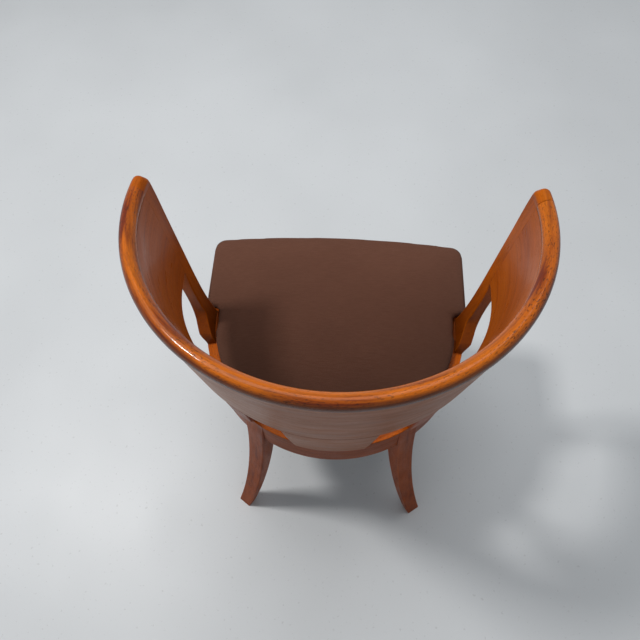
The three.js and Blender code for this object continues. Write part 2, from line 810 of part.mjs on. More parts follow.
function frontScrews(grow, lead) {
  const sideY = -blend(frontBlockRear, sideRailReach, frontScrewInsetShare);
  const sideX = blend(blockFace, frontBlockEnd, frontScrewInsetShare) + screwHeadDiameter / 3;
  const frontX = blend(frontBlockEnd, blockFace, frontScrewInsetShare);
  const frontY = -blend(railInner(0), frontBlockRear, frontScrewInsetShare) - screwHeadDiameter / 3;
  return [
    screwAt(new THREE.Vector3(sideX, sideY, blockMiddle), new THREE.Vector3(1, 0, 0), grow, lead),
    screwAt(new THREE.Vector3(frontX, frontY, blockMiddle), new THREE.Vector3(0, -1, 0), grow, lead),
  ];
}

// Upholstery
const coverRadius = railRadius - coverInset;
const coverNotchRadius = railRadius - coverNotchInset;
const coverFrontX = railRadius + coverOverhang;
const coverLead = armReach * frontEdgeShares[0][1] + overrun;
const notchDepthShare = 2;         // of the overhang, how far out its front face starts
const notchLeadShares = [0.5, 1.4, 3.6]; // of the overhang, forward of the arm support
const skirtLeadShare = 4;
const sideLeadShare = 8;

function coverHalf() {
  const cornerX = coverFrontX - coverCornerRadius;
  const cornerY = bowReach(cornerX, -coverOverhang) - coverCornerRadius;
  const back = spread(0, coverNotchRearAngle, arcStep).map((angle) => polar(angle, coverRadius, 0));
  const notchLeads = notchLeadShares.map((share) => -coverLead - coverOverhang * share);
  const notch = [
    polar(coverNotchRearAngle + 2, coverNotchRadius, 0),
    polar(coverNotchRearAngle + 7, coverNotchRadius, 0),
    new THREE.Vector3(coverNotchRadius, -coverLead, 0),
    new THREE.Vector3(coverNotchRadius + coverOverhang * notchDepthShare, notchLeads[0], 0),
    new THREE.Vector3(coverFrontX - coverOverhang, notchLeads[1], 0),
    new THREE.Vector3(coverFrontX, notchLeads[2], 0),
  ];
  const sides = spread(coverLead + coverOverhang * sideLeadShare, cornerY, coverSkirtDrop)
    .map((forward) => new THREE.Vector3(coverFrontX, -forward, 0));
  const corner = spread(0, 90, 15).slice(1).map((angle) => new THREE.Vector3(
    cornerX + coverCornerRadius * Math.cos(turn(angle)),
    -cornerY - coverCornerRadius * Math.sin(turn(angle)),
    0,
  ));
  const front = spread(cornerX, 0, cornerX / 6).slice(1)
    .map((x) => new THREE.Vector3(x, -bowReach(x, -coverOverhang), 0));
  return [...back, ...notch, ...sides, ...corner, ...front];
}

const coverSide = coverHalf();
const coverOutline = [
  ...coverSide,
  ...coverSide.slice(1, -1).reverse().map((point) => new THREE.Vector3(-point.x, point.y, 0)),
];
const coverShares = [
  [0.985, 0], [1, 0.1], [1.002, 0.26], [0.994, 0.38], [0.975, 0.47], [0.94, 0.55], [0.87, 0.66],
  [0.77, 0.77], [0.64, 0.87], [0.48, 0.94], [0.28, 0.985], [0.08, 1],
];
const coverMiddle = new THREE.Vector3(0, (coverRadius - frontDepth) / 2, 0);
const coverSideShare = 0.8;        // of the notch's radius, beyond which a point is on a side
const coverFadeShares = [0.26, 0.77]; // of the crown's height, where the notches fade away

// The outline without its notches, which the upper rings of the cushion come round to
const plainOutline = coverOutline.map((point) => {
  if (Math.abs(point.x) < coverNotchRadius * coverSideShare || point.y < -coverEaseLength) return point;
  const arcX = Math.sqrt(coverRadius ** 2 - Math.max(point.y, 0) ** 2);
  const share = THREE.MathUtils.smoothstep(-point.y, -coverEaseLength / 2, coverEaseLength);
  return new THREE.Vector3(Math.sign(point.x) * blend(arcX, coverFrontX, share), point.y, 0);
});

function coverRing(scale, up) {
  const fade = THREE.MathUtils.smoothstep(up, ...coverFadeShares);
  const height = railTop + clearance + up * (coverCrown - clearance);
  return coverOutline.map((edge, k) => {
    const point = edge.clone().lerp(plainOutline[k], fade);
    return new THREE.Vector3(
      coverMiddle.x + (point.x - coverMiddle.x) * scale,
      coverMiddle.y + (point.y - coverMiddle.y) * scale,
      height,
    );
  });
}

function seatCover() {
  const foot = railTop + clearance;
  const cushion = loft(coverShares.map(([scale, up]) => coverRing(scale, up)));
  const skirtTop = foot + overrun;
  const skirtFoot = railTop - coverSkirtDrop;
  const skirt = slab(
    coverOutline.map((point) => new THREE.Vector2(point.x, point.y)),
    skirtFoot,
    skirtTop,
  );
  const inside = slab(seatOutline(-clearance * 2), skirtFoot - overrun, foot);
  const skirtLead = coverLead + coverOverhang * skirtLeadShare;
  const reach = railRadius * 2;
  const behind = new THREE.BoxGeometry(2 * reach, 2 * reach, coverSkirtDrop * 2);
  behind.translate(0, reach - skirtLead, foot - coverSkirtDrop);
  const leg = loft(spread(skirtFoot - overrun, foot, coverSkirtDrop / 2)
    .map((z) => frontLegRing(z, clearance * 2)));
  const band = cut(skirt, [inside, behind, leg, mirrored(leg, -1)]);
  return join(cushion, [band]);
}

const strapInset = railThickness - rebateWidth + clearance * 5;
const strapReach = railRadius - strapInset;
const strapRound = (offset) => Math.sqrt(strapReach ** 2 - offset ** 2);

function strap(x, y, width, length, z) {
  const shape = new THREE.BoxGeometry(width, length, strapThickness);
  shape.translate(x, y, z + strapThickness / 2);
  return shape;
}

function crossStraps() {
  const pitch = (sideRailReach + strapReach) / 5;
  const places = [0.5, 1.5, 2.5, 3.5, 4.5].map((k) => k * pitch - sideRailReach);
  return places.map((y) => {
    const edge = Math.max(0, y + strapWidth / 2);
    return strap(0, y, 2 * strapRound(edge), strapWidth, rebateFloor + clearance);
  });
}

function lengthStraps() {
  const places = [-1.5, -0.5, 0.5, 1.5].map((k) => k * strapSpacingShare * strapReach);
  return places.map((x) => {
    const edge = Math.abs(x) + strapWidth / 2;
    const rear = strapRound(edge);
    const front = -bowReach(edge, strapInset);
    const foot = rebateFloor + 2 * clearance + strapThickness;
    return strap(x, (rear + front) / 2, strapWidth, rear - front, foot);
  });
}

const dustTop = railFoot - clearance;
const dustOutline = slab(seatOutline(dustInset), dustTop - dustCoverThickness, dustTop);

// Assembly
const legTool = rearLegTool();
const frontLegTool = loft(legToolHeights.map((z) => frontLegRing(z, clearance)));
const frontLegBlank = loft(legHeights.map((z) => frontLegRing(z, 0)));

const backBoard = arcSweep(
  [
    ...spread(-boardJointAngle, -stileHeadInnerAngle, arcStep),
    ...spread(-stileHeadInnerAngle, -splatHeadAngle, arcStep / 2).slice(1),
    ...spread(-splatHeadAngle, splatHeadAngle, arcStep).slice(1),
    ...spread(splatHeadAngle, stileHeadInnerAngle, arcStep / 2).slice(1),
    ...spread(stileHeadInnerAngle, boardJointAngle, arcStep).slice(1),
  ],
  boardSection,
);
place('crest_board_back', cut(backBoard, [
  splatHeadTenon(clearance),
  ...both.flatMap((side) => [
    mirrored(stileTenon(clearance), side),
    mirrored(spline(clearance), side),
  ]),
]), polishedWood);
place('back_splat', join(splatBlank(), [splatHeadTenon(0), splatFootTenon(0)]), polishedWood);

both.forEach((side) => {
  const name = sideName(side);
  const board = arcSweep(spread(boardJointAngle + gapTurn, boardEndAngle, arcStep), boardSection);
  const sideBoard = cut(board, [armTrimmer(), spline(clearance), ...armDowels(clearance)]);
  place(`crest_board_${name}`, mirrored(sideBoard, side), polishedWood);
  place(`crest_spline_${name}`, mirrored(spline(0), side), plainWood);
  place(`arm_support_${name}`, mirrored(armSupport(), side), polishedWood);
  placeRow(`arm_dowel_${name}`, armDowels(0).map((dowel) => mirrored(dowel, side)), plainWood);

  const leg = cut(rearLegBlank(), [
    rebateTool,
    backRailTenon(1, clearance),
    sideRailRearTenon(clearance),
  ]);
  place(`rear_leg_${name}`, mirrored(leg, side), polishedWood);

  const frontLeg = cut(frontLegBlank, [
    rebateTool,
    sideRailFrontTenon(clearance),
    frontRailTenon(1, clearance),
  ]);
  place(`front_leg_${name}`, mirrored(frontLeg, side), polishedWood);

  const railPath = [
    ...spread(rearLegAngle, 90, arcStep).map(arcStation),
    ...spread(0, sideRailReach + frontLegWidth / 2, armFootLength).slice(1).map(sideStation),
  ];
  const rail = cut(sweep(railPath, railSection), [legTool, frontLegTool]);
  const tenoned = join(rail, [sideRailRearTenon(0), sideRailFrontTenon(0)]);
  const railCuts = [
    rebateTool,
    armFootTenon(clearance),
    rearScrews(clearance, screwLead)[1],
    frontScrews(clearance, screwLead)[0],
  ];
  place(`seat_rail_${name}`, mirrored(cut(tenoned, railCuts), side), polishedWood);

  const rearBlock = arcSweep(
    spread(rearLegAngle - rearBlockReachAngle, rearLegAngle + rearBlockReachAngle, arcStep),
    () => box(blockFace - blockThickness, blockFace, blockFoot, blockTop),
  );
  const rearBlockCut = cut(rearBlock, [legTool, ...rearScrews(clearance, screwLead)]);
  place(`corner_block_rear_${name}`, mirrored(rearBlockCut, side), plainWood);
  const frontBlock = slab(frontBlockOutline, blockFoot, blockTop);
  const frontBlockCut = cut(frontBlock, frontScrews(clearance, screwLead));
  place(`corner_block_front_${name}`, mirrored(frontBlockCut, side), plainWood);
  const screws = [...rearScrews(0, 0), ...frontScrews(0, 0)];
  placeRow(`corner_screw_${name}`, screws.map((screw) => mirrored(screw, side)), steel);
});

const backRailBlank = arcSweep(spread(-rearLegAngle, rearLegAngle, arcStep), railSection);
const backRailBody = cut(backRailBlank, both.map((side) => mirrored(legTool, side)));
const backRail = join(backRailBody, both.map((side) => backRailTenon(side, 0)));
place('seat_rail_back', cut(backRail, [
  rebateTool,
  splatFootTenon(clearance),
  ...both.map((side) => mirrored(rearScrews(clearance, screwLead)[0], side)),
]), polishedWood);

const frontRailBlank = sweep(
  spread(-frontRailEnd + clearance, frontRailEnd - clearance, frontRailEnd / 6).map(bowStation),
  () => box(bowRadius - railThickness, bowRadius, railFoot, railTop),
);
const frontRailBody = cut(frontRailBlank, both.map((side) => mirrored(frontLegTool, side)));
const frontRail = join(frontRailBody, both.map((side) => frontRailTenon(side, 0)));
place('seat_rail_front', cut(frontRail, [
  rebateTool,
  ...both.map((side) => mirrored(frontScrews(clearance, screwLead)[1], side)),
]), polishedWood);

const backCap = arcSweep(spread(-capJointAngle, capJointAngle, arcStep), groovedCapSection);
place('crest_cap_back', backCap, polishedWood);
both.forEach((side) => {
  const angles = spread(capJointAngle + gapTurn, seamAngle - gapTurn, arcStep);
  const cap = arcSweep(angles, groovedCapSection);
  place(`crest_cap_${sideName(side)}`, mirrored(cap, side), polishedWood);
});

placeRow('webbing_cross', crossStraps(), webbing);
placeRow('webbing_length', lengthStraps(), webbing);
const hessianInset = railThickness - rebateWidth + clearance * 3;
const hessianSheet = slab(seatOutline(hessianInset), railTop - hessianThickness, railTop);
place('seat_hessian', hessianSheet, hessian);
place('seat_cover', seatCover(), cloth);
const dustCuts = both.flatMap((side) => [mirrored(legTool, side), mirrored(frontLegTool, side)]);
place('dust_cover', cut(dustOutline, dustCuts), dustCloth);

// The origin lies under the middle of the bounding box
const bounds = new THREE.Box3().setFromObject(chair);
chair.position.y = -(bounds.min.y + bounds.max.y) / 2;

export default chair;
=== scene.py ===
import math
import bpy
import bmesh
import numpy as np
from mathutils import Matrix, Vector


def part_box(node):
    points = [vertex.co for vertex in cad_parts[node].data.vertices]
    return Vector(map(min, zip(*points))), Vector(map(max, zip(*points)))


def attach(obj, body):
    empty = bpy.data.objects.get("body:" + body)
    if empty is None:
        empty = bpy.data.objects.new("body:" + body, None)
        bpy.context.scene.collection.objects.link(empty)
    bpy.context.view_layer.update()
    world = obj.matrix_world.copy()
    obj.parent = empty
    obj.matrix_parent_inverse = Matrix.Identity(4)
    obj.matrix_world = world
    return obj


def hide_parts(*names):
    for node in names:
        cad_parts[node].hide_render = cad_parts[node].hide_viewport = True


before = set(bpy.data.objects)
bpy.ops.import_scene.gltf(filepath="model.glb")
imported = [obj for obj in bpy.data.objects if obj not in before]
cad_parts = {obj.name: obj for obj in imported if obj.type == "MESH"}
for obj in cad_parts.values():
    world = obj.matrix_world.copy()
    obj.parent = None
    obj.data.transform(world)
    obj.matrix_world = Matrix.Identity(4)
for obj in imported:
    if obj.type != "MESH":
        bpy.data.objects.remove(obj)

scene = bpy.context.scene
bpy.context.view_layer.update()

# Lengths are in millimetres until they go into a mesh. Angles run from the middle of the back
# towards +X, around the upright axis of the back. Values repeat those of the part's source.
MM = 0.001
GAP = 0.3
RAIL_TOP = 434
RAIL_HEIGHT = 71
BACK_RADIUS = 250
RAIL_RADIUS = 240
RAIL_THICKNESS = 26
REBATE_WIDTH = 8.7
FRONT_DEPTH = 184
FRONT_BOW = 14
BACK_FLARE_SHARE = 0.154
BACK_TUCK = 4.5
BOARD_THICKNESS = 21
CREST_TOP_HEIGHT = 785
CREST_RISE_SHARE = 0.07
ARCH_FOOT = 588
ARCH_RISE = 18
STILE_HEAD_HEIGHT = 593
SPLAT_HEAD_HEIGHT = 582
SPLAT_HEAD_ANGLE = 15.8
SPLAT_FOOT_ANGLE = 14.2
BOARD_JOINT_ANGLE = 40
CAP_JOINT_ANGLE = 52
CAP_HEIGHT = 18
CAP_LIP = 2
CAP_INNER_LIP = 0.6
REAR_LEG_ANGLE = 34.4
REAR_FOOT_ANGLE = 38.5
REAR_LEG_TURN = 35.4
REAR_LEG_SPLAY = 81.5
REAR_LEG_WIDTH = 39.7
REAR_FOOT_WIDTH = 29.2
REAR_LEG_DEPTH = 40.4
REAR_FOOT_DEPTH = 21.5
REAR_LEG_PROUD = 1.5
STILE_HEAD_ANGLES = (27.8, 35.5)
STILE_FOOT_ANGLES = (34.5, 39.2)
STILE_FOOT_THICKNESS = 15.5
STILE_TUCK = 11.5
STILE_TUCK_HEIGHT = 111
FRONT_LEG_WIDTH = 34
FRONT_FOOT_WIDTH = 25
FRONT_LEG_SETBACK = 13
FRONT_LEG_SWEEP = 46
ARM_REACH = 47
ARM_FOOT_LENGTH = 74
ARM_FOOT_TUCK = 5.5
ARM_FOOT_HEIGHT = 23
ARM_TIP_ROUND = 8
COVER_OVERHANG = 5
COVER_INSET = 17.1
COVER_NOTCH_INSET = 21
COVER_NOTCH_REAR_ANGLE = 82
COVER_CROWN = 36
COVER_CORNER_RADIUS = 22
COVER_SKIRT_DROP = 34
COVER_EASE = 92
STRAP_THICKNESS = 1.4
STRAP_WIDTH = 50
STRAP_SPACING_SHARE = 0.32
HESSIAN_THICKNESS = 0.9
DUST_THICKNESS = 1.2
DUST_INSET = 5


# Small helpers
def through(points):
    """Smooth curve through pairs of place and value, with straight ends."""
    slopes = [(v - u) / (q - p) for (p, u), (q, v) in zip(points, points[1:])]
    tangents = [(a + b) / 2 for a, b in zip(slopes[:1] + slopes, slopes + slopes[-1:])]

    def at(place):
        place = min(max(place, points[0][0]), points[-1][0])
        k = next(i for i in range(1, len(points)) if place <= points[i][0])
        (start, low), (end, high) = points[k - 1], points[k]
        rise, width = high - low, end - start
        first, last = tangents[k - 1] * width, tangents[k] * width
        p = (place - start) / width
        return low + p * (first + p * (3 * rise - 2 * first - last + p * (first + last - 2 * rise)))
    return at


def mix(start, end, share):
    return start + (end - start) * share


def ease(low, high, value):
    share = min(1, max(0, (value - low) / (high - low)))
    return share * share * (3 - 2 * share)


def spread(start, end, step):
    count = max(1, math.ceil(abs(end - start) / step - 1e-9))
    return [start + (end - start) * k / count for k in range(count + 1)]


def polar(angle, radius, z):
    return (radius * math.sin(math.radians(angle)), radius * math.cos(math.radians(angle)), z)


def forward_angle(forward, radius):
    return 90 + math.degrees(math.asin(forward / radius))


# The barrel back, as in the source
def cone_radius(z):
    return BACK_RADIUS + BACK_FLARE_SHARE * (z - RAIL_TOP)


def drawn_in(z, depth, height):
    return cone_radius(z) - depth * (max(0, RAIL_TOP + height - z) / height) ** 2


def shell_radius(z):
    return drawn_in(z, BACK_TUCK, SPLAT_HEAD_HEIGHT - RAIL_TOP)


def stile_radius(z):
    return drawn_in(z, STILE_TUCK, STILE_TUCK_HEIGHT)


def crest_top(angle):
    rise = CREST_RISE_SHARE * shell_radius(CREST_TOP_HEIGHT)
    return CREST_TOP_HEIGHT + rise * math.cos(math.radians(angle))


def cap_foot(angle):
    return crest_top(angle) - CAP_HEIGHT


STILE_HEAD_INNER, STILE_HEAD_OUTER = STILE_HEAD_ANGLES
ARCH_END_ANGLE = 91
slot_head = through([(SPLAT_HEAD_ANGLE, 0), (19, 0.2), (23, 0.62), (STILE_HEAD_INNER, 1)])
arch_head = through([
    (STILE_HEAD_OUTER, 0.28), (41, 0.6), (47, 0.84), (54, 0.98), (60, 1), (66, 0.93), (72, 0.73),
    (78, 0.45), (84, 0.18), (ARCH_END_ANGLE, 0),
])


def board_foot(angle):
    off = abs(angle)
    if off <= SPLAT_HEAD_ANGLE:
        return SPLAT_HEAD_HEIGHT
    if off < STILE_HEAD_INNER:
        return mix(SPLAT_HEAD_HEIGHT, STILE_HEAD_HEIGHT, slot_head(off))
    if off <= STILE_HEAD_OUTER:
        return STILE_HEAD_HEIGHT
    return ARCH_FOOT + ARCH_RISE * arch_head(min(off, ARCH_END_ANGLE))


front_edge = through([
    (0, 0.375), (0.05, 0.35), (0.2, 0.375), (0.31, 0.456), (0.45, 0.575), (0.6, 0.7),
    (0.74, 0.813), (0.87, 0.926), (1, 1),
])
# share of the height, then the arm's depth over its foot's length on the inner and the outer face
ARM_DEPTHS = [
    (0, 0.992, 0.965), (0.065, 0.877, 0.845), (0.088, 0.722, 0.700), (0.112, 0.560, 0.553),
    (0.14, 0.439, 0.476), (0.19, 0.417, 0.390), (0.24, 0.407, 0.353), (0.32, 0.401, 0.351),
    (0.4, 0.365, 0.347), (0.455, 0.334, 0.334), (0.6, 0.325, 0.325), (0.8, 0.323, 0.323),
    (1, 0.338, 0.338),
]
inner_depth = through([(share, inner) for share, inner, _ in ARM_DEPTHS])
outer_depth = through([(share, outer) for share, _, outer in ARM_DEPTHS])
tuck = through([(0, 1), (0.35, 0.86), (0.7, 0.5), (1, 0)])


def arm_share(z):
    return (z - RAIL_TOP) / (CREST_TOP_HEIGHT - RAIL_TOP)


def arm_front(z):
    return ARM_REACH * front_edge(arm_share(z))


def arm_inner_rear(z):
    inner_share = 1 - BOARD_THICKNESS / shell_radius(z)
    return (arm_front(z) - ARM_FOOT_LENGTH * inner_depth(arm_share(z))) * inner_share


def arm_outer_rear(z):
    return arm_front(z) - ARM_FOOT_LENGTH * outer_depth(arm_share(z))


TIP_MIDDLE_ANGLE = 95
SEAM_HEIGHT = cap_foot(TIP_MIDDLE_ANGLE)
SEAM_ANGLE = forward_angle(arm_outer_rear(SEAM_HEIGHT), shell_radius(SEAM_HEIGHT))
GAP_TURN = math.degrees(GAP / BACK_RADIUS)

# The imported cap's rearmost point says where the axis of the back is
AXIS_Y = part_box("crest_cap_back")[1].y / MM - (shell_radius(cap_foot(0)) + CAP_LIP)


# Meshes
def place(points):
    return np.array([(x, y + AXIS_Y, z) for x, y, z in points], float) * MM


def in_scene(name, data):
    """Object in the scene that shows a mesh, a lamp or a camera."""
    shown = bpy.data.objects.new(name, data)
    scene.collection.objects.link(shown)
    return shown


def closed_body(name, points, faces):
    """Object in the scene whose faces all point out."""
    mesh = bpy.data.meshes.new(name)
    mesh.from_pydata([tuple(p) for p in points], [], faces)
    mesh.validate()
    shape = bmesh.new()
    shape.from_mesh(mesh)
    bmesh.ops.recalc_face_normals(shape, faces=shape.faces)
    shape.to_mesh(mesh)
    shape.free()
    return in_scene(name, mesh)


def new_piece(name, points, faces, material, nodes=()):
    piece = closed_body(name, points, faces)
    for entry in material if isinstance(material, list) else [material]:
        piece.data.materials.append(entry)
    if nodes:
        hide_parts(*nodes)
    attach(piece, "root")
    return piece


SHARP_ANGLE = 38
NORMAL_WEIGHT = 60


def smooth(piece, angle=SHARP_ANGLE):
    mesh = piece.data
    mesh.shade_smooth()
    mesh.set_sharp_from_angle(angle=math.radians(angle))
    weighted = piece.modifiers.new("weighted", "WEIGHTED_NORMAL")
    weighted.keep_sharp = True
    weighted.weight = NORMAL_WEIGHT


def loft_faces(rows, count, offset=0):
    faces = []
    for row in range(rows - 1):
        for k in range(count):
            a = offset + row * count + k
            b = offset + row * count + (k + 1) % count
            faces.append((a, b, b + count, a + count))
    faces.append(tuple(offset + k for k in range(count - 1, -1, -1)))
    faces.append(tuple(offset + (rows - 1) * count + k for k in range(count)))
    return faces


def lofted(name, rings, material, nodes, side=1):
    """Piece through closed rings of points, mirrored where side is -1."""
    points = [(x * side, y, z) for ring in rings for x, y, z in ring]
    return new_piece(name, place(points), loft_faces(len(rings), len(rings[0])), material, nodes)


def wooden(name, rings, material, node, side=1):
    return lofted(name, rings, material, [node], side)


ROUND_LIMIT = 0.49


def rounded(corners, radii, arc=4, sides=3):
    """Ring through flat corners, each rounded by an arc of its own radius.

    The number of points depends only on arc and sides. An arc is a rational curve whose middle
    point is the corner, which gives a circle's arc.
    """
    ring = []
    count = len(corners)
    places = [np.array(c, float) for c in corners]
    radii = list(radii) if hasattr(radii, "__len__") else [radii] * count
    sides = list(sides) if hasattr(sides, "__len__") else [sides] * count
    arcs = []
    for k in range(count):
        here, back, on = places[k], places[k - 1], places[(k + 1) % count]
        into = (back - here) / (np.linalg.norm(back - here) + 1e-9)
        out = (on - here) / (np.linalg.norm(on - here) + 1e-9)
        opening = math.acos(max(-1, min(1, float(into @ out))))
        reach = radii[k] / max(math.tan(opening / 2), 1e-6)
        reach = min(reach, min(np.linalg.norm(back - here), np.linalg.norm(on - here)) * ROUND_LIMIT)
        start, end = here + into * reach, here + out * reach
        points = []
        for i in range(arc + 1):
            t = i / arc
            pull = 2 * t * (1 - t) * math.sin(opening / 2)
            total = (1 - t) ** 2 + pull + t * t
            points.append(((1 - t) ** 2 * start + pull * here + t * t * end) / total)
        arcs.append(points)
    for k in range(count):
        ring.extend(arcs[k])
        end, start = arcs[k][-1], arcs[(k + 1) % count][0]
        ring.extend(end + (start - end) * i / (sides[k] + 1) for i in range(1, sides[k] + 1))
    return ring


def bent_ring(angles, radii, heights_at, rounds, **steps):
    """Ring that bends with the back, through two outer and two inner corners laid out flat.

    Each angle has a height, and a length by which the piece stands further out there.
    """
    outer, inner = radii
    middle = (outer + inner) / 2
    corners = list(zip([math.radians(angle) * middle for angle in angles], (outer, outer, inner, inner)))
    ring = []
    for along, radius in rounded(corners, rounds, **steps):
        angle = math.degrees(along / middle)
        height, out = heights_at(angle)
        ring.append(polar(angle, radius + out, height))
    return ring


ARRIS_ROUND = 2.2


def curved_ring(low, high, face, thick, z, **steps):
    """Level ring between two angles, inward from the outer radius."""
    angles = (low, high, high, low)
    return bent_ring(angles, (face, face - thick), lambda angle: (z, 0), ARRIS_ROUND, **steps)


def attribute(piece, name, values, domain="POINT"):
    """Stores a number or a vector for each point, or for each corner of the faces."""
    values = np.asarray(values, np.float32)
    kind, field = ("FLOAT", "value") if values.ndim == 1 else ("FLOAT_VECTOR", "vector")
    layer = piece.data.attributes.new(name, kind, domain)
    layer.data.foreach_set(field, values.ravel())


def positions(mesh):
    co = np.zeros(len(mesh.vertices) * 3, np.float32)
    mesh.vertices.foreach_get("co", co)
    return co.reshape(-1, 3).astype(float)


GRAIN_SHIFT = 0.3


def back_grain(co, seed=0.0, up=False):
    """Grain around the back or up it: along the grain, then across it, then through the piece."""
    x, y, z = co[:, 0], co[:, 1] - AXIS_Y * MM, co[:, 2]
    around = np.arctan2(x, y) * BACK_RADIUS * MM
    along, across = (z, around) if up else (around, z)
    return np.stack([along + seed, across + seed * GRAIN_SHIFT, np.hypot(x, y) + seed], 1)


def grain_round(piece, seed=0.0, up=False):
    attribute(piece, "grain", back_grain(positions(piece.data), seed, up))


def grain_up(piece, seed=0.0):
    grain_round(piece, seed, up=True)


def grain_across(piece, seed=0.0):
    """Grain that runs from left to right, for the front rail."""
    co = positions(piece.data)
    attribute(piece, "grain", np.stack([co[:, 0] + seed, co[:, 2], co[:, 1] + seed], 1))


def wear(piece, sharp_radius=2.0, soft_radius=10.0, below=None):
    """Marks rounded outer edges, from how tightly the surface bends there, below a given height."""
    shape = bmesh.new()
    shape.from_mesh(piece.data)
    shape.edges.ensure_lookup_table()
    total = np.zeros(len(shape.verts))
    for edge in shape.edges:
        if len(edge.link_faces) != 2 or not edge.is_convex:
            continue
        first, second = edge.link_faces
        if max(len(first.verts), len(second.verts)) > 4:
            continue
        span = (first.calc_center_median() - second.calc_center_median()).length + 1e-6
        bend = edge.calc_face_angle(0.0) / span
        for vert in edge.verts:
            total[vert.index] = max(total[vert.index], bend)
    shape.free()
    tight, slack = 1 / (sharp_radius * MM), 1 / (soft_radius * MM)
    share = np.clip((total - slack) / (tight - slack), 0, 1)
    if below is not None:
        share = np.where(positions(piece.data)[:, 2] < below * MM, share, 0)
    attribute(piece, "wear", share)


def finish(piece, angle=SHARP_ANGLE, **worn):
    smooth(piece, angle)
    wear(piece, **worn)


# Materials
class Nodes:
    """Short way of writing the nodes of a material or of the world."""

    def __init__(self, owner):
        owner.use_nodes = True
        self.material = owner
        self.tree = owner.node_tree
        self.shader = self.tree.nodes.get("Principled BSDF")

    def fill(self, sockets, values):
        """Links each value that is a socket, and sets each that is a number or a colour."""
        for socket, value in zip(sockets, values):
            if isinstance(value, bpy.types.NodeSocket):
                self.tree.links.new(value, socket)
            else:
                socket.default_value = value

    def add(self, kind, inputs=(), **settings):
        node = self.tree.nodes.new("ShaderNode" + kind)
        for key, value in settings.items():
            setattr(node, key, value)
        named = dict(inputs)
        self.fill([node.inputs[key] for key in named], named.values())
        return node

    def grain(self):
        return self.add("Attribute", attribute_name="grain").outputs["Vector"]

    def attribute(self, name):
        return self.add("Attribute", attribute_name=name).outputs["Fac"]

    def object_place(self):
        return self.add("TexCoord").outputs["Object"]

    def scaled(self, vector, scale, shift=(0, 0, 0)):
        settings = {"Vector": vector, "Scale": scale, "Location": shift}
        return self.add("Mapping", settings).outputs["Vector"]

    def noise(self, vector, scale=1.0, detail=3.0, rough=0.5, distortion=0.0):
        settings = {
            "Vector": vector, "Scale": scale, "Detail": detail, "Roughness": rough,
            "Distortion": distortion,
        }
        return self.add("TexNoise", settings).outputs["Fac"]

    def window(self, value, low, high, bottom=0.0, top=1.0):
        settings = {"Value": value, "From Min": low, "From Max": high, "To Min": bottom, "To Max": top}
        return self.add("MapRange", settings, clamp=True).outputs["Result"]

    def sum(self, operation, first, second=0.0):
        node = self.add("Math", operation=operation)
        self.fill(node.inputs, (first, second))
        return node.outputs["Value"]

    def plus(self, first, second):
        return self.sum("ADD", first, second)

    def times(self, first, second):
        return self.sum("MULTIPLY", first, second)

    def blend(self, share, first, second):
        node = self.add("Mix", data_type="RGBA")
        self.fill((node.inputs[0], node.inputs[6], node.inputs[7]), (share, first, second))
        return node.outputs[2]

    def colour(self, value):
        self.tree.links.new(value, self.shader.inputs["Base Color"])

    def roughness(self, value):
        self.tree.links.new(value, self.shader.inputs["Roughness"])

    def bump(self, height, distance, strength=1.0):
        node = self.add("Bump", {"Height": height, "Distance": distance, "Strength": strength})
        self.tree.links.new(node.outputs["Normal"], self.shader.inputs["Normal"])

    def seen(self):
        """1 for rays that show a surface to the camera, in a mirror or through glass, else 0."""
        rays = self.add("LightPath").outputs
        shown = self.sum("MAXIMUM", rays["Is Camera Ray"], rays["Is Glossy Ray"])
        return self.sum("MAXIMUM", shown, rays["Is Transmission Ray"])

    def constant(self, **values):
        for key, value in values.items():
            self.shader.inputs[key.replace("_", " ")].default_value = value


def linear(red, green, blue):
    """Colour written as in a picture, 0 to 255, turned into the renderer's own scale."""
    def one(value):
        value = value / 255
        return value / 12.92 if value <= 0.04045 else ((value + 0.055) / 1.055) ** 2.4
    return (one(red), one(green), one(blue), 1.0)


PORE = linear(34, 13, 3)
# Painted shade: the dark brown that the wood takes on the cap's outer flank and the arms' feet, by the
# share below.
PAINTED_SHADE_BROWN = linear(66, 20, 3)
VARNISH_TINT = (1.0, 0.82, 0.66, 1.0)
VARNISH_ROUGHNESS = 0.08
PAINTED_SHADE_SHARE = 0.8
RUBBED_SHARE = 0.25
WOOD_RELIEF = 0.18 * MM


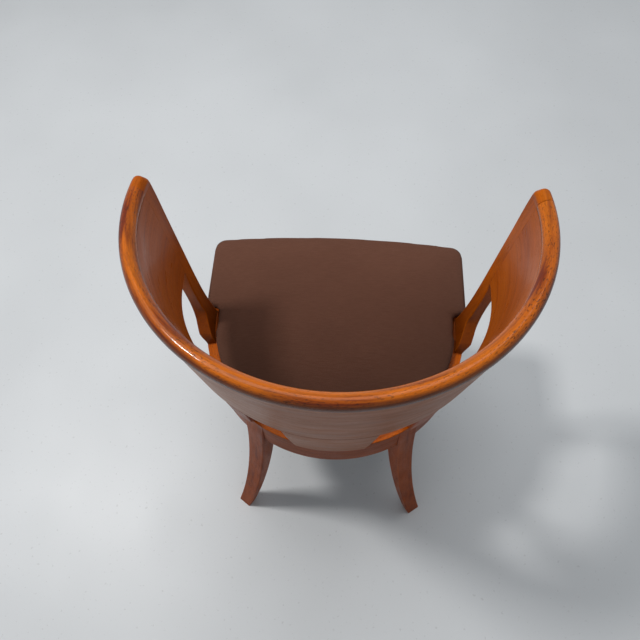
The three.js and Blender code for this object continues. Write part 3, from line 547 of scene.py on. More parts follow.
def wood(name, tones, rough, fleck, coat, specular, contrast, tip_tones=None):
    """Polished wood: broad tone, long streaks, fine fibres, pores, dark flecks, rubbed edges and painted
    shade where a piece marks it.

    Each pattern is stretched along the grain: its three scales are for along, across and through.
    """
    n = Nodes(bpy.data.materials.new(name))
    tones = [linear(*tone) for tone in tones]
    if tip_tones:
        tip = n.attribute("tip")
        tones = [n.blend(tip, tone, linear(*other)) for tone, other in zip(tones, tip_tones)]
    dark, middle, light = tones
    grain = n.grain()
    broad = n.noise(n.scaled(grain, (5, 22, 22)), detail=2.0, distortion=0.4)
    streak = n.noise(n.scaled(grain, (7, 150, 110)), detail=5.0, rough=0.62, distortion=0.25)
    fibre = n.noise(n.scaled(grain, (35, 900, 700)), detail=2.0)

    def marks(scale, shift, detail, *window):
        return n.window(n.noise(n.scaled(grain, scale, shift), detail=detail), *window)
    pore = n.times(
        marks((130, 1150, 900), (0, 0, 0), 1.0, 0.60, 0.72),
        marks((12, 70, 60), (3, 1, 7), 1.0, 0.35, 0.65, 0.15, 1.0),
    )
    spot = n.times(
        marks((230, 620, 620), (5, 2, 1), 2.5, 0.54, 0.66),
        marks((12, 60, 60), (1, 4, 2), 2.0, 0.38, 0.60, 0.2, 1.0),
    )
    tone = n.plus(n.times(broad, 0.45), n.times(streak, 0.55))
    half = 0.16 / contrast
    base = n.blend(n.window(tone, 0.5 - half, 0.5 + half), dark, light)
    base = n.blend(n.window(streak, 0.42, 0.6, 0.0, 0.45), base, middle)
    base = n.blend(n.window(fibre, 0.3, 0.7, 0.0, 0.22), base, dark)
    # Painted shade: darkens the wood where the 'edge' attribute marks the cap's outer flank and the arms'
    # feet.
    base = n.blend(n.times(n.attribute("edge"), PAINTED_SHADE_SHARE), base, PAINTED_SHADE_BROWN)
    base = n.blend(n.times(pore, 0.5 * fleck), base, PORE)
    base = n.blend(n.times(spot, fleck), base, PORE)
    rubbed = n.times(n.attribute("wear"), n.window(broad, 0.3, 0.6, 0.2, 0.9))
    base = n.blend(n.times(rubbed, RUBBED_SHARE), base, light)
    n.colour(base)
    gloss = n.noise(n.scaled(grain, (20, 60, 60)), detail=3.0)
    dull = n.times(n.plus(pore, spot), 0.3 * fleck)
    n.roughness(n.plus(n.window(gloss, 0.3, 0.7, *rough), dull))
    height = n.sum("SUBTRACT", n.times(fibre, 0.3), n.times(pore, fleck))
    height = n.sum("SUBTRACT", height, n.times(spot, 1.4 * fleck))
    height = n.plus(height, n.times(streak, 0.6))
    n.bump(height, WOOD_RELIEF, 0.8)
    n.constant(Coat_Weight=coat, Coat_Roughness=VARNISH_ROUGHNESS)
    n.constant(Specular_IOR_Level=specular, Specular_Tint=VARNISH_TINT)
    return n.material


BEAD_TONES = ((106, 34, 1), (176, 78, 2), (214, 116, 6))
PANEL_TONES = ((128, 50, 1), (174, 80, 2), (194, 100, 8))
BEAD_WOOD = wood(
    "polished_crest_cap", BEAD_TONES,
    rough=(0.22, 0.4), fleck=0.75, coat=0.32, specular=0.13, contrast=1.7)
# The boards' and splat's outer faces: a duller, browner copy of the inner faces' wood, as painted shade
# and grey reflection.
OUTER_PAINTED_SHADE_WOOD = wood(
    "polished_outer_painted_shade", ((120, 60, 20), (152, 82, 32), (166, 94, 40)),
    rough=(0.3, 0.42), fleck=0.2, coat=0.03, specular=0.17, contrast=0.6)
PANEL_WOOD = wood(
    "polished_inner_face", PANEL_TONES,
    rough=(0.26, 0.4), fleck=0.25, coat=0.04, specular=0.13, contrast=0.65)
ARM_WOOD = wood(
    "polished_arm", PANEL_TONES,
    rough=(0.26, 0.4), fleck=0.3, coat=0.05, specular=0.13, contrast=0.7, tip_tones=BEAD_TONES)
LEG_WOOD = wood(
    "polished_leg", ((108, 42, 10), (154, 70, 20), (170, 82, 28)),
    rough=(0.28, 0.42), fleck=0.35, coat=0.02, specular=0.06, contrast=0.9)
RAIL_WOOD = wood(
    "polished_rail", ((106, 42, 8), (150, 66, 16), (166, 80, 24)),
    rough=(0.28, 0.42), fleck=0.35, coat=0.02, specular=0.05, contrast=0.9)
# A brighter, more orange copy of the rail wood for the upward faces of the seat frame: painted light from
# above.
PAINTED_LIGHT_LEDGE_WOOD = wood(
    "polished_ledge_painted_light", ((118, 42, 2), (176, 78, 6), (196, 98, 12)),
    rough=(0.24, 0.38), fleck=0.5, coat=0.03, specular=0.08, contrast=1.2)


def pale_wood():
    """Unpolished wood of the hidden joinery, with upright grain."""
    n = Nodes(bpy.data.materials.new("plain_wood_joinery"))
    place_in = n.object_place()
    streak = n.noise(n.scaled(place_in, (60, 60, 14)), detail=5.0, rough=0.6, distortion=0.3)
    fibre = n.noise(n.scaled(place_in, (700, 700, 60)), detail=2.0)
    base = n.blend(n.window(streak, 0.35, 0.65), linear(160, 118, 76), linear(202, 166, 120))
    base = n.blend(n.window(fibre, 0.3, 0.7, 0.0, 0.4), base, linear(140, 98, 60))
    n.colour(base)
    n.roughness(n.window(fibre, 0.3, 0.7, 0.6, 0.85))
    n.bump(fibre, 0.2 * MM, 0.6)
    return n.material


def steel():
    n = Nodes(bpy.data.materials.new("screw_steel"))
    place_in = n.object_place()
    stain = n.noise(place_in, 260, 4.0)
    base = n.blend(n.window(stain, 0.4, 0.7), linear(176, 170, 158), linear(120, 104, 84))
    n.colour(base)
    n.roughness(n.window(stain, 0.3, 0.7, 0.28, 0.5))
    n.bump(n.noise(place_in, 1400, 2.0), 0.08 * MM, 0.5)
    n.constant(Metallic=1.0)
    return n.material


# Painted shade: the dark colour that the cushion's cloth goes towards at the rear, and its largest share.
PAINTED_REAR_SHADE = (0.02, 0.008, 0.004, 1.0)
PAINTED_REAR_SHADE_SHARE = 0.75


def darker(colour, share):
    return tuple(share * c for c in colour[:3]) + (1.0,)


def woven(name, warp, weft, pitch, rough=0.95, depth=0.25, sheen=0.0, rear_shade_span=None):
    """Plain weave from two crossed waves, with slubs, a slow drift in colour and painted shade towards the
    rear.

    Pitch and depth are in millimetres, and the last argument gives where the painted shade at the rear
    begins and ends.
    """
    n = Nodes(bpy.data.materials.new(name))
    warp, weft = linear(*warp), linear(*weft)
    grain = n.grain()
    parts = n.add("SeparateXYZ", {"Vector": grain})
    turn = 2 * math.pi / (pitch * MM)
    across = n.sum("SINE", n.times(parts.outputs["X"], turn))
    along = n.sum("SINE", n.times(parts.outputs["Y"], turn))
    over = n.times(across, along)
    slub = n.noise(n.scaled(grain, (60, 700, 300)), detail=3.0)
    drift = n.noise(n.scaled(grain, (9, 9, 9)), detail=3.0)
    base = n.blend(n.window(over, -1, 1), warp, weft)
    base = n.blend(n.window(slub, 0.35, 0.7, 0.0, 0.45), base, darker(warp, 0.6))
    base = n.blend(n.window(drift, 0.3, 0.7, 0.0, 0.3), base, darker(weft, 0.75))
    # Painted shade: the cloth darkens towards the rear of the seat.
    if rear_shade_span:
        rear = n.window(parts.outputs["Y"], *rear_shade_span, 0.0, PAINTED_REAR_SHADE_SHARE)
        base = n.blend(rear, base, PAINTED_REAR_SHADE)
    n.colour(base)
    n.roughness(n.window(slub, 0.3, 0.7, rough - 0.1, min(1.0, rough + 0.05)))
    n.bump(n.plus(over, n.times(slub, 1.5)), depth * MM, 0.8)
    if sheen:
        n.constant(Sheen_Weight=sheen, Sheen_Roughness=0.5, Sheen_Tint=warp)
        n.constant(Specular_IOR_Level=0.2)
    return n.material


# The cushion's cloth, with painted shade towards the rear.
FABRIC = woven(
    "seat_fabric", (114, 76, 60), (92, 58, 44), 1.3, sheen=0.3, rear_shade_span=(-0.2, 0.2))
HESSIAN = woven("hessian_cloth", (176, 148, 104), (150, 122, 82), 2.4, depth=0.5)
WEBBING = woven("jute_webbing", (200, 180, 140), (176, 152, 110), 2.0, depth=0.5)
DUST_CLOTH = woven("dust_cloth", (48, 44, 41), (34, 31, 29), 1.2)
PLAIN_WOOD = pale_wood()
STEEL = steel()


# Camera, seen from behind and above as in the photograph
CAMERA_PLACE = (-5.3, 506.37, 1465.2)
CAMERA_FOCUS = 34.99
CAMERA_SENSOR = 36.0
CAMERA_START = 0.05
CAMERA_TURNS = ((183.49, "Z"), (28.53, "X"), (-0.88, "Z"))


def make_camera():
    data = bpy.data.cameras.new("camera")
    data.lens = CAMERA_FOCUS
    data.sensor_width = CAMERA_SENSOR
    data.clip_start = CAMERA_START
    camera = in_scene("camera", data)
    pose = Matrix.Translation(Vector(CAMERA_PLACE) * MM)
    for angle, axis in CAMERA_TURNS:
        pose = pose @ Matrix.Rotation(math.radians(angle), 4, axis)
    camera.matrix_world = pose
    scene.camera = camera


def lamp(name, place_at, aim, size, power, colour):
    """Rectangular lamp, in metres and watts, that looks from one place at another."""
    data = bpy.data.lights.new(name, "AREA")
    data.shape = "RECTANGLE"
    data.size, data.size_y = size
    data.energy = power
    data.color = colour
    light = in_scene(name, data)
    turn = (Vector(aim) - Vector(place_at)).to_track_quat("-Z", "Y")
    light.matrix_world = Matrix.Translation(Vector(place_at)) @ turn.to_matrix().to_4x4()


FLOOR_REACH = 12
FADE_DISTANCES = (2.3, 6.0)
BACKDROP_SHOWN = linear(199, 203, 206)
SKY = (0.92, 0.96, 1.0, 1.0)
SKY_LIGHT = 0.26
SKY_SHOWN = 0.62


def make_stage():
    """Pale floor that fades into an equally pale world, and two lamps."""
    n = Nodes(bpy.data.materials.new("pale_floor"))
    place_in = n.object_place()
    speck = n.noise(place_in, 120, 2.0)
    cloud = n.noise(place_in, 1.6, 3.0)
    base = n.blend(n.window(cloud, 0.3, 0.7), linear(216, 219, 221), linear(206, 209, 211))
    base = n.blend(n.window(speck, 0.66, 0.74, 0.0, 0.25), base, linear(150, 150, 150))
    n.colour(base)
    n.roughness(n.window(cloud, 0.3, 0.7, 0.4, 0.52))
    n.bump(speck, 0.2 * MM, 0.3)
    distance = n.add("VectorMath", operation="LENGTH")
    n.tree.links.new(place_in, distance.inputs[0])
    far = n.window(distance.outputs["Value"], *FADE_DISTANCES)
    glow = n.add("Emission", {"Color": BACKDROP_SHOWN})
    mixed = n.add("MixShader", {"Fac": n.times(far, n.seen())})
    n.fill(mixed.inputs[1:], (n.shader.outputs["BSDF"], glow.outputs["Emission"]))
    n.tree.links.new(mixed.outputs["Shader"], n.tree.nodes["Material Output"].inputs["Surface"])
    corners = [(x * FLOOR_REACH, y * FLOOR_REACH, 0) for x, y in ((-1, -1), (1, -1), (1, 1), (-1, 1))]
    mesh = bpy.data.meshes.new("floor")
    mesh.from_pydata(corners, [], [(0, 1, 2, 3)])
    floor = in_scene("floor", mesh)
    mesh.materials.append(n.material)
    world = bpy.data.worlds.new("studio")
    sky = Nodes(world)
    strength = sky.window(sky.seen(), 0.0, 1.0, SKY_LIGHT, SKY_SHOWN)
    background = sky.tree.nodes["Background"].inputs
    sky.fill((background["Color"], background["Strength"]), (SKY, strength))
    scene.world = world
    lamp("key", (1.55, -0.25, 3.0), (0, 0, 0.4), (0.4, 0.4), 44, (1.0, 0.98, 0.96))
    lamp("ceiling", (0, -0.9, 3.3), (0, -0.2, 0), (2.6, 2.2), 44, (0.98, 0.99, 1.0))


scene.view_settings.view_transform = "Standard"
make_camera()
make_stage()

SIDES = ((1, "left"), (-1, "right"))


def both_sides(label, rings, material, node, grain, seed):
    """The same rings as a left and a right piece, each with its own grain."""
    pieces = []
    for side, end in SIDES:
        pieces.append(wooden(f"{end}_{label}", rings, material, f"{node}_{end}", side))
        grain(pieces[-1], seed * side)
    return pieces


# Crest boards
BOARD_STEP = 1.5
BOARD_ROUND = 2.4
BOARD_TOP_ROUND = 0.3
CLOSED_JOINT = 0.1
INWARD_LEVEL = 0.9
UPWARD_LEVEL = 0.8
SIDE_BOARD_STEPS = 34
SIDE_BOARD_REACH = 92
SIDE_BOARD_PASSES = 4


def board_section(angle):
    bottom, top = board_foot(angle), cap_foot(angle) - GAP
    return rounded(
        [(shell_radius(bottom), bottom), (shell_radius(top), top),
         (shell_radius(top) - BOARD_THICKNESS, top), (shell_radius(bottom) - BOARD_THICKNESS, bottom)],
        [BOARD_ROUND, BOARD_TOP_ROUND, BOARD_TOP_ROUND, BOARD_ROUND], sides=[12, 3, 12, 3],
    )


def round_piece(name, angles, section_at, material, node, side=1):
    """Piece swept around the axis of the back."""
    rings = [[polar(angle, radius, z) for radius, z in section_at(angle)] for angle in angles]
    return wooden(name, rings, material, node, side)


def two_faced(piece):
    """Gives the faces that look at the axis of the back the second material; the first, on the outer
    faces, is a duller browner copy of the wood, as painted shade and grey reflection.
    """
    for face in piece.data.polygons:
        middle, normal = face.center, face.normal
        inward = -(middle.x * normal.x + (middle.y - AXIS_Y * MM) * normal.y)
        inward /= math.hypot(middle.x, middle.y - AXIS_Y * MM)
        if inward > INWARD_LEVEL:
            face.material_index = 1


def paint_light_on_ledge(piece):
    """Gives the seat frame's upward faces behind the arms' feet the second material, a brighter wood as
    painted light from above.
    """
    rear = (AXIS_Y - arm_outer_rear(RAIL_TOP)) * MM
    level = (RAIL_TOP - GAP) * MM
    for face in piece.data.polygons:
        if face.normal.z > UPWARD_LEVEL and face.center.z > level and face.center.y > rear:
            face.material_index = 1


def side_board_rings():
    """Rings that lean more and more, so that the last one follows the arm support's rear edge."""
    start = BOARD_JOINT_ANGLE + GAP_TURN
    low, high = board_foot(start), cap_foot(start) - GAP
    rings = []
    for share in spread(0, 1, 1 / SIDE_BOARD_STEPS):
        ring = []
        for radius, z in board_section(start):
            up = (z - low) / (high - low)
            depth = shell_radius(z) - radius
            angle = mix(start, SIDE_BOARD_REACH, share)
            for _ in range(SIDE_BOARD_PASSES):
                height = mix(board_foot(angle), cap_foot(angle) - GAP, up)
                out = shell_radius(height) - depth
                rear = mix(arm_outer_rear(height), arm_inner_rear(height), depth / BOARD_THICKNESS)
                angle = mix(start, forward_angle(rear - CLOSED_JOINT, out), share)
            ring.append(polar(angle, out, height))
        rings.append(ring)
    return rings


def crest_boards():
    woods = [OUTER_PAINTED_SHADE_WOOD, PANEL_WOOD]
    angles = spread(-BOARD_JOINT_ANGLE, BOARD_JOINT_ANGLE, BOARD_STEP)
    boards = [(round_piece("back_crest_board", angles, board_section, woods, "crest_board_back"), 0.0)]
    rings = side_board_rings()
    for side, label in SIDES:
        board = wooden(f"{label}_crest_board", rings, woods, f"crest_board_{label}", side)
        boards.append((board, 0.37 * side))
    for board, seed in boards:
        two_faced(board)
        grain_round(board, seed)
        finish(board, below=ARCH_FOOT + 2 * ARCH_RISE)


# Crest cap, a bead with a fine groove at its inner foot
CAP_WIDTH = CAP_LIP + BOARD_THICKNESS + CAP_INNER_LIP
CAP_OUTER = through([
    (0, 0.06), (0.1, 0), (0.34, 0), (0.56, 0.03), (0.76, 0.1), (0.9, 0.2), (0.98, 0.33), (1, 0.46),
])
CAP_INNER = through([
    (0, 0.96), (0.1, 1), (0.28, 1), (0.48, 0.95), (0.68, 0.85), (0.84, 0.73), (0.95, 0.6), (1, 0.46),
])
CAP_POINTS = [
    (0.06, 0), (0.015, 0.03), (0, 0.1), (0, 0.22), (0, 0.34), (0.01, 0.46), (0.03, 0.56), (0.06, 0.67),
    (0.1, 0.76), (0.145, 0.835), (0.2, 0.9), (0.26, 0.95), (0.33, 0.98), (0.395, 0.996), (0.46, 1),
    (0.53, 0.985), (0.6, 0.95), (0.667, 0.9), (0.73, 0.84), (0.795, 0.765), (0.85, 0.68), (0.905, 0.585),
    (0.95, 0.48), (0.98, 0.385), (0.99, 0.28), (0.987, 0.19), (0.98, 0.1), (0.972, 0.03), (0.955, 0),
    (0.7, 0), (0.3, 0),
]
CLOSED_SEAM_SHARE = 0.2
OPEN_SEAM_SHARE = 2.6
CAP_SHARP_ANGLE = 50
# Painted shade: the cap's outer flank darkens over this share of its width.
FLANK_SHARE = 0.22
# Painted shade on the arms' feet: its share, and the lift where it starts and fades.
PAINTED_FOOT_SHADE = 0.85
PAINTED_FOOT_SHADE_START = 1.2
PAINTED_FOOT_SHADE_REACH = 5


def mark_painted_shade(piece, foot_shade=0.0):
    """Marks painted shade for the wood: the cap's outer flank and, by its own share, an arm's foot, both
    darkened as painted shade.
    """
    co = positions(piece.data) / MM
    x, y, z = co[:, 0], co[:, 1] - AXIS_Y, co[:, 2]
    foot = np.array([cap_foot(math.degrees(turn)) for turn in np.arctan2(np.abs(x), y)])
    outer = np.array([shell_radius(level) for level in foot]) + CAP_LIP
    across = (outer - np.hypot(x, y)) / CAP_WIDTH
    share = np.where(z > foot - GAP, np.clip(1 - across / FLANK_SHARE, 0, 1), 0)
    lift = (z - RAIL_TOP) / ARM_FOOT_HEIGHT
    share = np.maximum(share, foot_shade * np.clip(PAINTED_FOOT_SHADE_START - lift / PAINTED_FOOT_SHADE_REACH, 0, 1))
    attribute(piece, "edge", share)


def cap_section(angle):
    foot = cap_foot(angle)
    outer = shell_radius(foot) + CAP_LIP
    return [(outer - across * CAP_WIDTH, foot + up * CAP_HEIGHT) for across, up in CAP_POINTS]


def crest_caps():
    back = spread(-CAP_JOINT_ANGLE, CAP_JOINT_ANGLE, BOARD_STEP)
    runs = [("back_crest_cap", back, 1, "crest_cap_back")]
    for side, label in SIDES:
        seam_gap = GAP_TURN * (OPEN_SEAM_SHARE if side < 0 else CLOSED_SEAM_SHARE)
        side_run = spread(CAP_JOINT_ANGLE, SEAM_ANGLE - seam_gap, BOARD_STEP)
        runs.append((f"{label}_crest_cap", side_run, side, f"crest_cap_{label}"))
    for name, angles, side, node in runs:
        cap = round_piece(name, angles, cap_section, BEAD_WOOD, node, side)
        grain_round(cap)
        # Painted shade on the cap's outer flank.
        mark_painted_shade(cap)
        smooth(cap, CAP_SHARP_ANGLE)


# Arm supports, each one surface from the seat frame to the rounded tip
ARM_STEP = 6
ARM_FRONT_ROUND = 3.2
ARM_REAR_ROUND = 2.6
ARM_ARRIS_ROUND = 1.0
ARM_NOSE_ROUND = 9.0
ARM_NOSE_SWELL = 0.8
ARM_NOSE_LIMIT = 0.48
ARM_PROUD = ARM_FRONT_ROUND / 4
ARM_JOINT_ROUND = 0.15
ARM_SHARP_ANGLE = 24
ARM_NOSE_POWER = 2.4
ARM_JOINT_LEVELS = (ARCH_FOOT - 14, ARCH_FOOT + 2)
ARM_INNER_SHARE = 0.975
ARM_INNER_BEND = (0.28, 0.6)
ARM_UPRIGHT_LEVELS = 4
ARM_TIP_SHARE = 0.45
ARM_STEPS = {"arc": 6, "sides": [7, 4, 7, 4]}
ARM_TIP_LEVELS = [
    -0.05, 0.0, 0.05, 0.12, 0.22, 0.34, 0.46, 0.57, 0.67, 0.76, 0.84, 0.9, 0.95, 0.98, 0.995,
]


def arm_supports():
    rings = []
    arris = RAIL_TOP + ARM_FOOT_HEIGHT
    curve_top = RAIL_TOP + 3 * ARM_FOOT_HEIGHT
    heights = spread(RAIL_TOP + GAP, arris, ARM_STEP / 3)
    heights += [arris + GAP] + spread(arris + 1, curve_top, ARM_STEP / 2)
    heights += spread(curve_top, SEAM_HEIGHT - ARM_STEP / 2, ARM_STEP)[1:]
    for z in heights:
        lift = (z - RAIL_TOP) / ARM_FOOT_HEIGHT
        outer = shell_radius(z) - ARM_FOOT_TUCK * (tuck(lift) if lift < 1 else 0)
        inner = shell_radius(z) - BOARD_THICKNESS
        front = arm_front(z) + ARM_PROUD
        angles = (
            forward_angle(arm_outer_rear(z), outer), forward_angle(front, outer),
            forward_angle(front, inner), forward_angle(arm_inner_rear(z), inner),
        )
        rear = mix(ARM_ARRIS_ROUND, ARM_REAR_ROUND, ease(arris, curve_top, z))
        rear = mix(rear, ARM_JOINT_ROUND, ease(*ARM_JOINT_LEVELS, z))
        rounds = (rear, ARM_FRONT_ROUND, ARM_FRONT_ROUND, rear)
        rings.append(bent_ring(angles, (outer, inner), lambda angle, z=z: (z, 0), rounds, **ARM_STEPS))
    below = len(rings) + ARM_UPRIGHT_LEVELS
    foot_radius = shell_radius(SEAM_HEIGHT)
    for level in ARM_TIP_LEVELS:
        up = max(0, level)
        outer = foot_radius + CAP_LIP - CAP_OUTER(up) * CAP_WIDTH
        inner_across = mix(ARM_INNER_SHARE, CAP_INNER(up), ease(*ARM_INNER_BEND, up))
        inner = foot_radius + CAP_LIP - inner_across * CAP_WIDTH
        if level < 0:
            outer, inner = foot_radius, foot_radius - BOARD_THICKNESS
        lift = level * CAP_HEIGHT
        reach = arm_front(SEAM_HEIGHT + lift) + ARM_PROUD
        reach -= ARM_TIP_ROUND * (1 - math.sqrt(max(0, 1 - up ** ARM_NOSE_POWER)))
        fronts = (forward_angle(reach, outer), forward_angle(reach, inner))
        angles = (SEAM_ANGLE, *fronts, SEAM_ANGLE)
        nose = mix(ARM_FRONT_ROUND, ARM_NOSE_ROUND, up ** ARM_NOSE_SWELL)
        nose = min(nose, (outer - inner) * ARM_NOSE_LIMIT)

        def heights_at(angle, lift=lift):
            foot = cap_foot(angle)
            return foot + lift, shell_radius(foot) - foot_radius
        rounds = (ARM_JOINT_ROUND, nose, nose, ARM_JOINT_ROUND)
        rings.append(bent_ring(angles, (outer, inner), heights_at, rounds, **ARM_STEPS))
    first = below * len(rings[0])

    def grain(arm, seed):
        arm_grain(arm, first, seed)
    for arm in both_sides("arm_support", rings, ARM_WOOD, "arm_support", grain, 0.53):
        # Painted shade on the tip's outer flank and, more strongly, on the foot.
        mark_painted_shade(arm, PAINTED_FOOT_SHADE)
        finish(arm, ARM_SHARP_ANGLE, sharp_radius=3.0, soft_radius=14.0, below=ARCH_FOOT)


def arm_grain(arm, first, seed):
    """Grain up the arm, but around the back on its tip, whose points start at the one given."""
    co = positions(arm.data)
    corners = np.zeros(len(arm.data.loops), np.int32)
    arm.data.loops.foreach_get("vertex_index", corners)
    faces = [face.vertices for face in arm.data.polygons]
    on_tip = np.concatenate([[min(face) >= first] * len(face) for face in faces])
    values = np.where(on_tip[:, None], back_grain(co)[corners], back_grain(co, seed, up=True)[corners])
    attribute(arm, "grain", values, "CORNER")
    low, high = (SEAM_HEIGHT + ARM_TIP_SHARE * CAP_HEIGHT) * MM, (SEAM_HEIGHT + CAP_HEIGHT) * MM
    attribute(arm, "tip", np.clip((co[:, 2] - low) / (high - low), 0, 1))


# Back splat
UPRIGHT_STEP = 6


def back_splat():
    rings = []
    for z in spread(RAIL_TOP + GAP, SPLAT_HEAD_HEIGHT - GAP, UPRIGHT_STEP):
        share = (z - RAIL_TOP) / (SPLAT_HEAD_HEIGHT - RAIL_TOP)
        reach = mix(SPLAT_FOOT_ANGLE, SPLAT_HEAD_ANGLE, share)
        rings.append(curved_ring(-reach, reach, shell_radius(z), BOARD_THICKNESS, z, sides=[16, 3, 16, 3]))
    splat = wooden("splat", rings, [OUTER_PAINTED_SHADE_WOOD, PANEL_WOOD], "back_splat")
    two_faced(splat)
    grain_round(splat, 0.11)
    finish(splat)


# Rear legs, each one piece with its stile
stile_outer = through([(0, 1), (0.3, 0.8), (0.52, 0.45), (0.66, 0.22), (0.8, 0.08), (1, 0)])
stile_inner = through([(0, 1), (0.2, 0.7), (0.45, 0.25), (0.65, 0.04), (1, 0)])
LEG_POWER = 1.55
LEG_TURN_POWER = 2.6
LEG_ROUND = 2.6
LEG_BLEND = 44
LEG_FLUSH_PROUD = 0.1
LEG_STEP = 8
FOOT_EASE = 1.2
HEAD_FACE = 0.3
HEAD_EASE = 0.9
STILE_FOOT_EASE = 2.5
OUT = np.array(polar(REAR_LEG_TURN, 1, 0)[:2])
ALONG = np.array(polar(REAR_LEG_TURN + 90, 1, 0)[:2])


def leg_middle(z):
    drop = max(RAIL_TOP - z, 0) / RAIL_TOP
    head = RAIL_RADIUS + REAR_LEG_PROUD - REAR_LEG_DEPTH / 2
    angle = mix(REAR_LEG_ANGLE, REAR_FOOT_ANGLE, drop ** LEG_TURN_POWER)
    return np.array(polar(angle, head + REAR_LEG_SPLAY * drop ** LEG_POWER, 0)[:2]), drop


def leg_ring(z, shrink=0.0, face=0.0):
    """Ring of the rear leg; near its head the outer face comes round to the rails' radius."""
    middle, drop = leg_middle(z)
    half_width = mix(REAR_LEG_WIDTH, REAR_FOOT_WIDTH, drop) / 2 - shrink
    half_depth = mix(REAR_LEG_DEPTH, REAR_FOOT_DEPTH, drop) / 2 - shrink
    corners = [
        middle + out * OUT * half_depth + along * ALONG * half_width
        for out, along in ((1, -1), (1, 1), (-1, 1), (-1, -1))
    ]
    share = ease(RAIL_TOP - LEG_BLEND, RAIL_TOP - 2 * LEG_ROUND, z)
    outer_round = mix(LEG_ROUND, GAP, share)
    ring = []
    for p in rounded(corners, [outer_round, outer_round, LEG_ROUND, LEG_ROUND], arc=5, sides=5):
        level = float((p - middle) @ OUT) / half_depth
        radius = np.linalg.norm(p)
        flush = share * min(1, max(0, 2 * level - 1))
        p = p * mix(radius, RAIL_RADIUS + LEG_FLUSH_PROUD - face, flush) / radius
        ring.append((p[0], p[1], z))
    return ring


def stile_ring(z, flare=0.0):
    share = (z - RAIL_TOP) / (STILE_HEAD_HEIGHT - RAIL_TOP)
    outer_angle = mix(STILE_HEAD_ANGLES[1], STILE_FOOT_ANGLES[1], stile_outer(share))
    inner_angle = mix(STILE_HEAD_ANGLES[0], STILE_FOOT_ANGLES[0], stile_inner(share))
    thick = mix(STILE_FOOT_THICKNESS, BOARD_THICKNESS, share) + flare
    return curved_ring(inner_angle, outer_angle, stile_radius(z) + flare, thick, z, arc=5, sides=5)


def leg_rings(ring_at):
    """A leg's rings from its eased foot to just below its head."""
    rings = [ring_at(0, FOOT_EASE), ring_at(FOOT_EASE)]
    rings += [ring_at(z) for z in spread(0, RAIL_TOP, LEG_STEP)[1:-1]]
    return rings + [ring_at(RAIL_TOP - 1)]


def rear_legs():
    rings = leg_rings(leg_ring)
    rings += [leg_ring(RAIL_TOP - HEAD_FACE, 0, HEAD_FACE), leg_ring(RAIL_TOP, 0, HEAD_EASE)]
    rings += [stile_ring(RAIL_TOP + 0.2, HEAD_FACE), stile_ring(RAIL_TOP + FOOT_EASE)]
    heights = spread(RAIL_TOP + STILE_FOOT_EASE, STILE_HEAD_HEIGHT - GAP, UPRIGHT_STEP)
    rings += [stile_ring(z) for z in heights]
    # The tops of the legs take the brighter wood of painted light from above.
    for leg in both_sides("rear_leg", rings, [LEG_WOOD, PAINTED_LIGHT_LEDGE_WOOD], "rear_leg", grain_up, 0.71):
        paint_light_on_ledge(leg)
        finish(leg)


# Front legs
FRONT_LEG_FACE = FRONT_DEPTH - FRONT_LEG_SETBACK
FRONT_CORNER_SHARE = 0.48
FRONT_LEG_ROUND = 2.4
FRONT_HEAD_EASE = 0.8


def front_leg_sizes(z):
    drop = max(RAIL_TOP - z, 0) / RAIL_TOP
    width = mix(FRONT_LEG_WIDTH, FRONT_FOOT_WIDTH, drop)
    middle_x = RAIL_RADIUS - FRONT_LEG_WIDTH / 2
    middle_y = -(FRONT_LEG_FACE - FRONT_LEG_WIDTH / 2 + FRONT_LEG_SWEEP * drop ** 2)
    return width, middle_x, middle_y


def front_leg_ring(z, shrink=0.0):
    width, x, y = front_leg_sizes(z)
    half = width / 2 - shrink
    corners = [(x - half, y + half), (x + half, y + half), (x + half, y - half), (x - half, y - half)]
    rounds = [FRONT_LEG_ROUND, FRONT_LEG_ROUND, FRONT_CORNER_SHARE * width, FRONT_LEG_ROUND]
    return [(px, py, z) for px, py in rounded(corners, rounds, arc=8, sides=4)]


def front_legs():
    rings = leg_rings(front_leg_ring) + [front_leg_ring(RAIL_TOP, FRONT_HEAD_EASE)]
    for leg in both_sides("front_leg", rings, LEG_WOOD, "front_leg", grain_up, 0.93):
        finish(leg)


# Seat rails
RAIL_FOOT = RAIL_TOP - RAIL_HEIGHT
REBATE_FLOOR = RAIL_TOP - (2 * STRAP_THICKNESS + HESSIAN_THICKNESS + 3 * GAP)
RAIL_MIDDLE = RAIL_RADIUS - RAIL_THICKNESS / 2
BOW_RADIUS = (RAIL_MIDDLE ** 2 + FRONT_BOW ** 2) / (2 * FRONT_BOW)
BOW_CENTRE = BOW_RADIUS - FRONT_DEPTH
FRONT_LEG_REAR = FRONT_LEG_FACE - FRONT_LEG_WIDTH
RAIL_ROUNDS = [1.6, 1.2, 0.6, 0.3, 0.6, 1.6]
BACK_RAIL_STEPS = 22
SIDE_RAIL_STEPS = 26
STRAIGHT_RAIL_STEPS = 14
FRONT_RAIL_STEPS = 16


def bow_reach(x, inset):
    return math.sqrt((BOW_RADIUS - inset) ** 2 - x ** 2) - BOW_CENTRE


def rail_section(outer):
    inner = outer - RAIL_THICKNESS
    step = inner + REBATE_WIDTH
    corners = [
        (outer, RAIL_FOOT), (outer, RAIL_TOP), (step, RAIL_TOP), (step, REBATE_FLOOR),
        (inner, REBATE_FLOOR), (inner, RAIL_FOOT),
    ]
    return rounded(corners, RAIL_ROUNDS, sides=[8, 3, 1, 2, 6, 4])


def leg_face_angle(radius, z, way):
    """Angle at which a point of the rail meets the rear leg's side, way +1 or -1 along the rail."""
    middle, drop = leg_middle(z)
    half = mix(REAR_LEG_WIDTH, REAR_FOOT_WIDTH, drop) / 2 + GAP
    level = float(middle @ ALONG) + way * half
    return REAR_LEG_TURN + 90 - math.degrees(math.acos(level / radius))


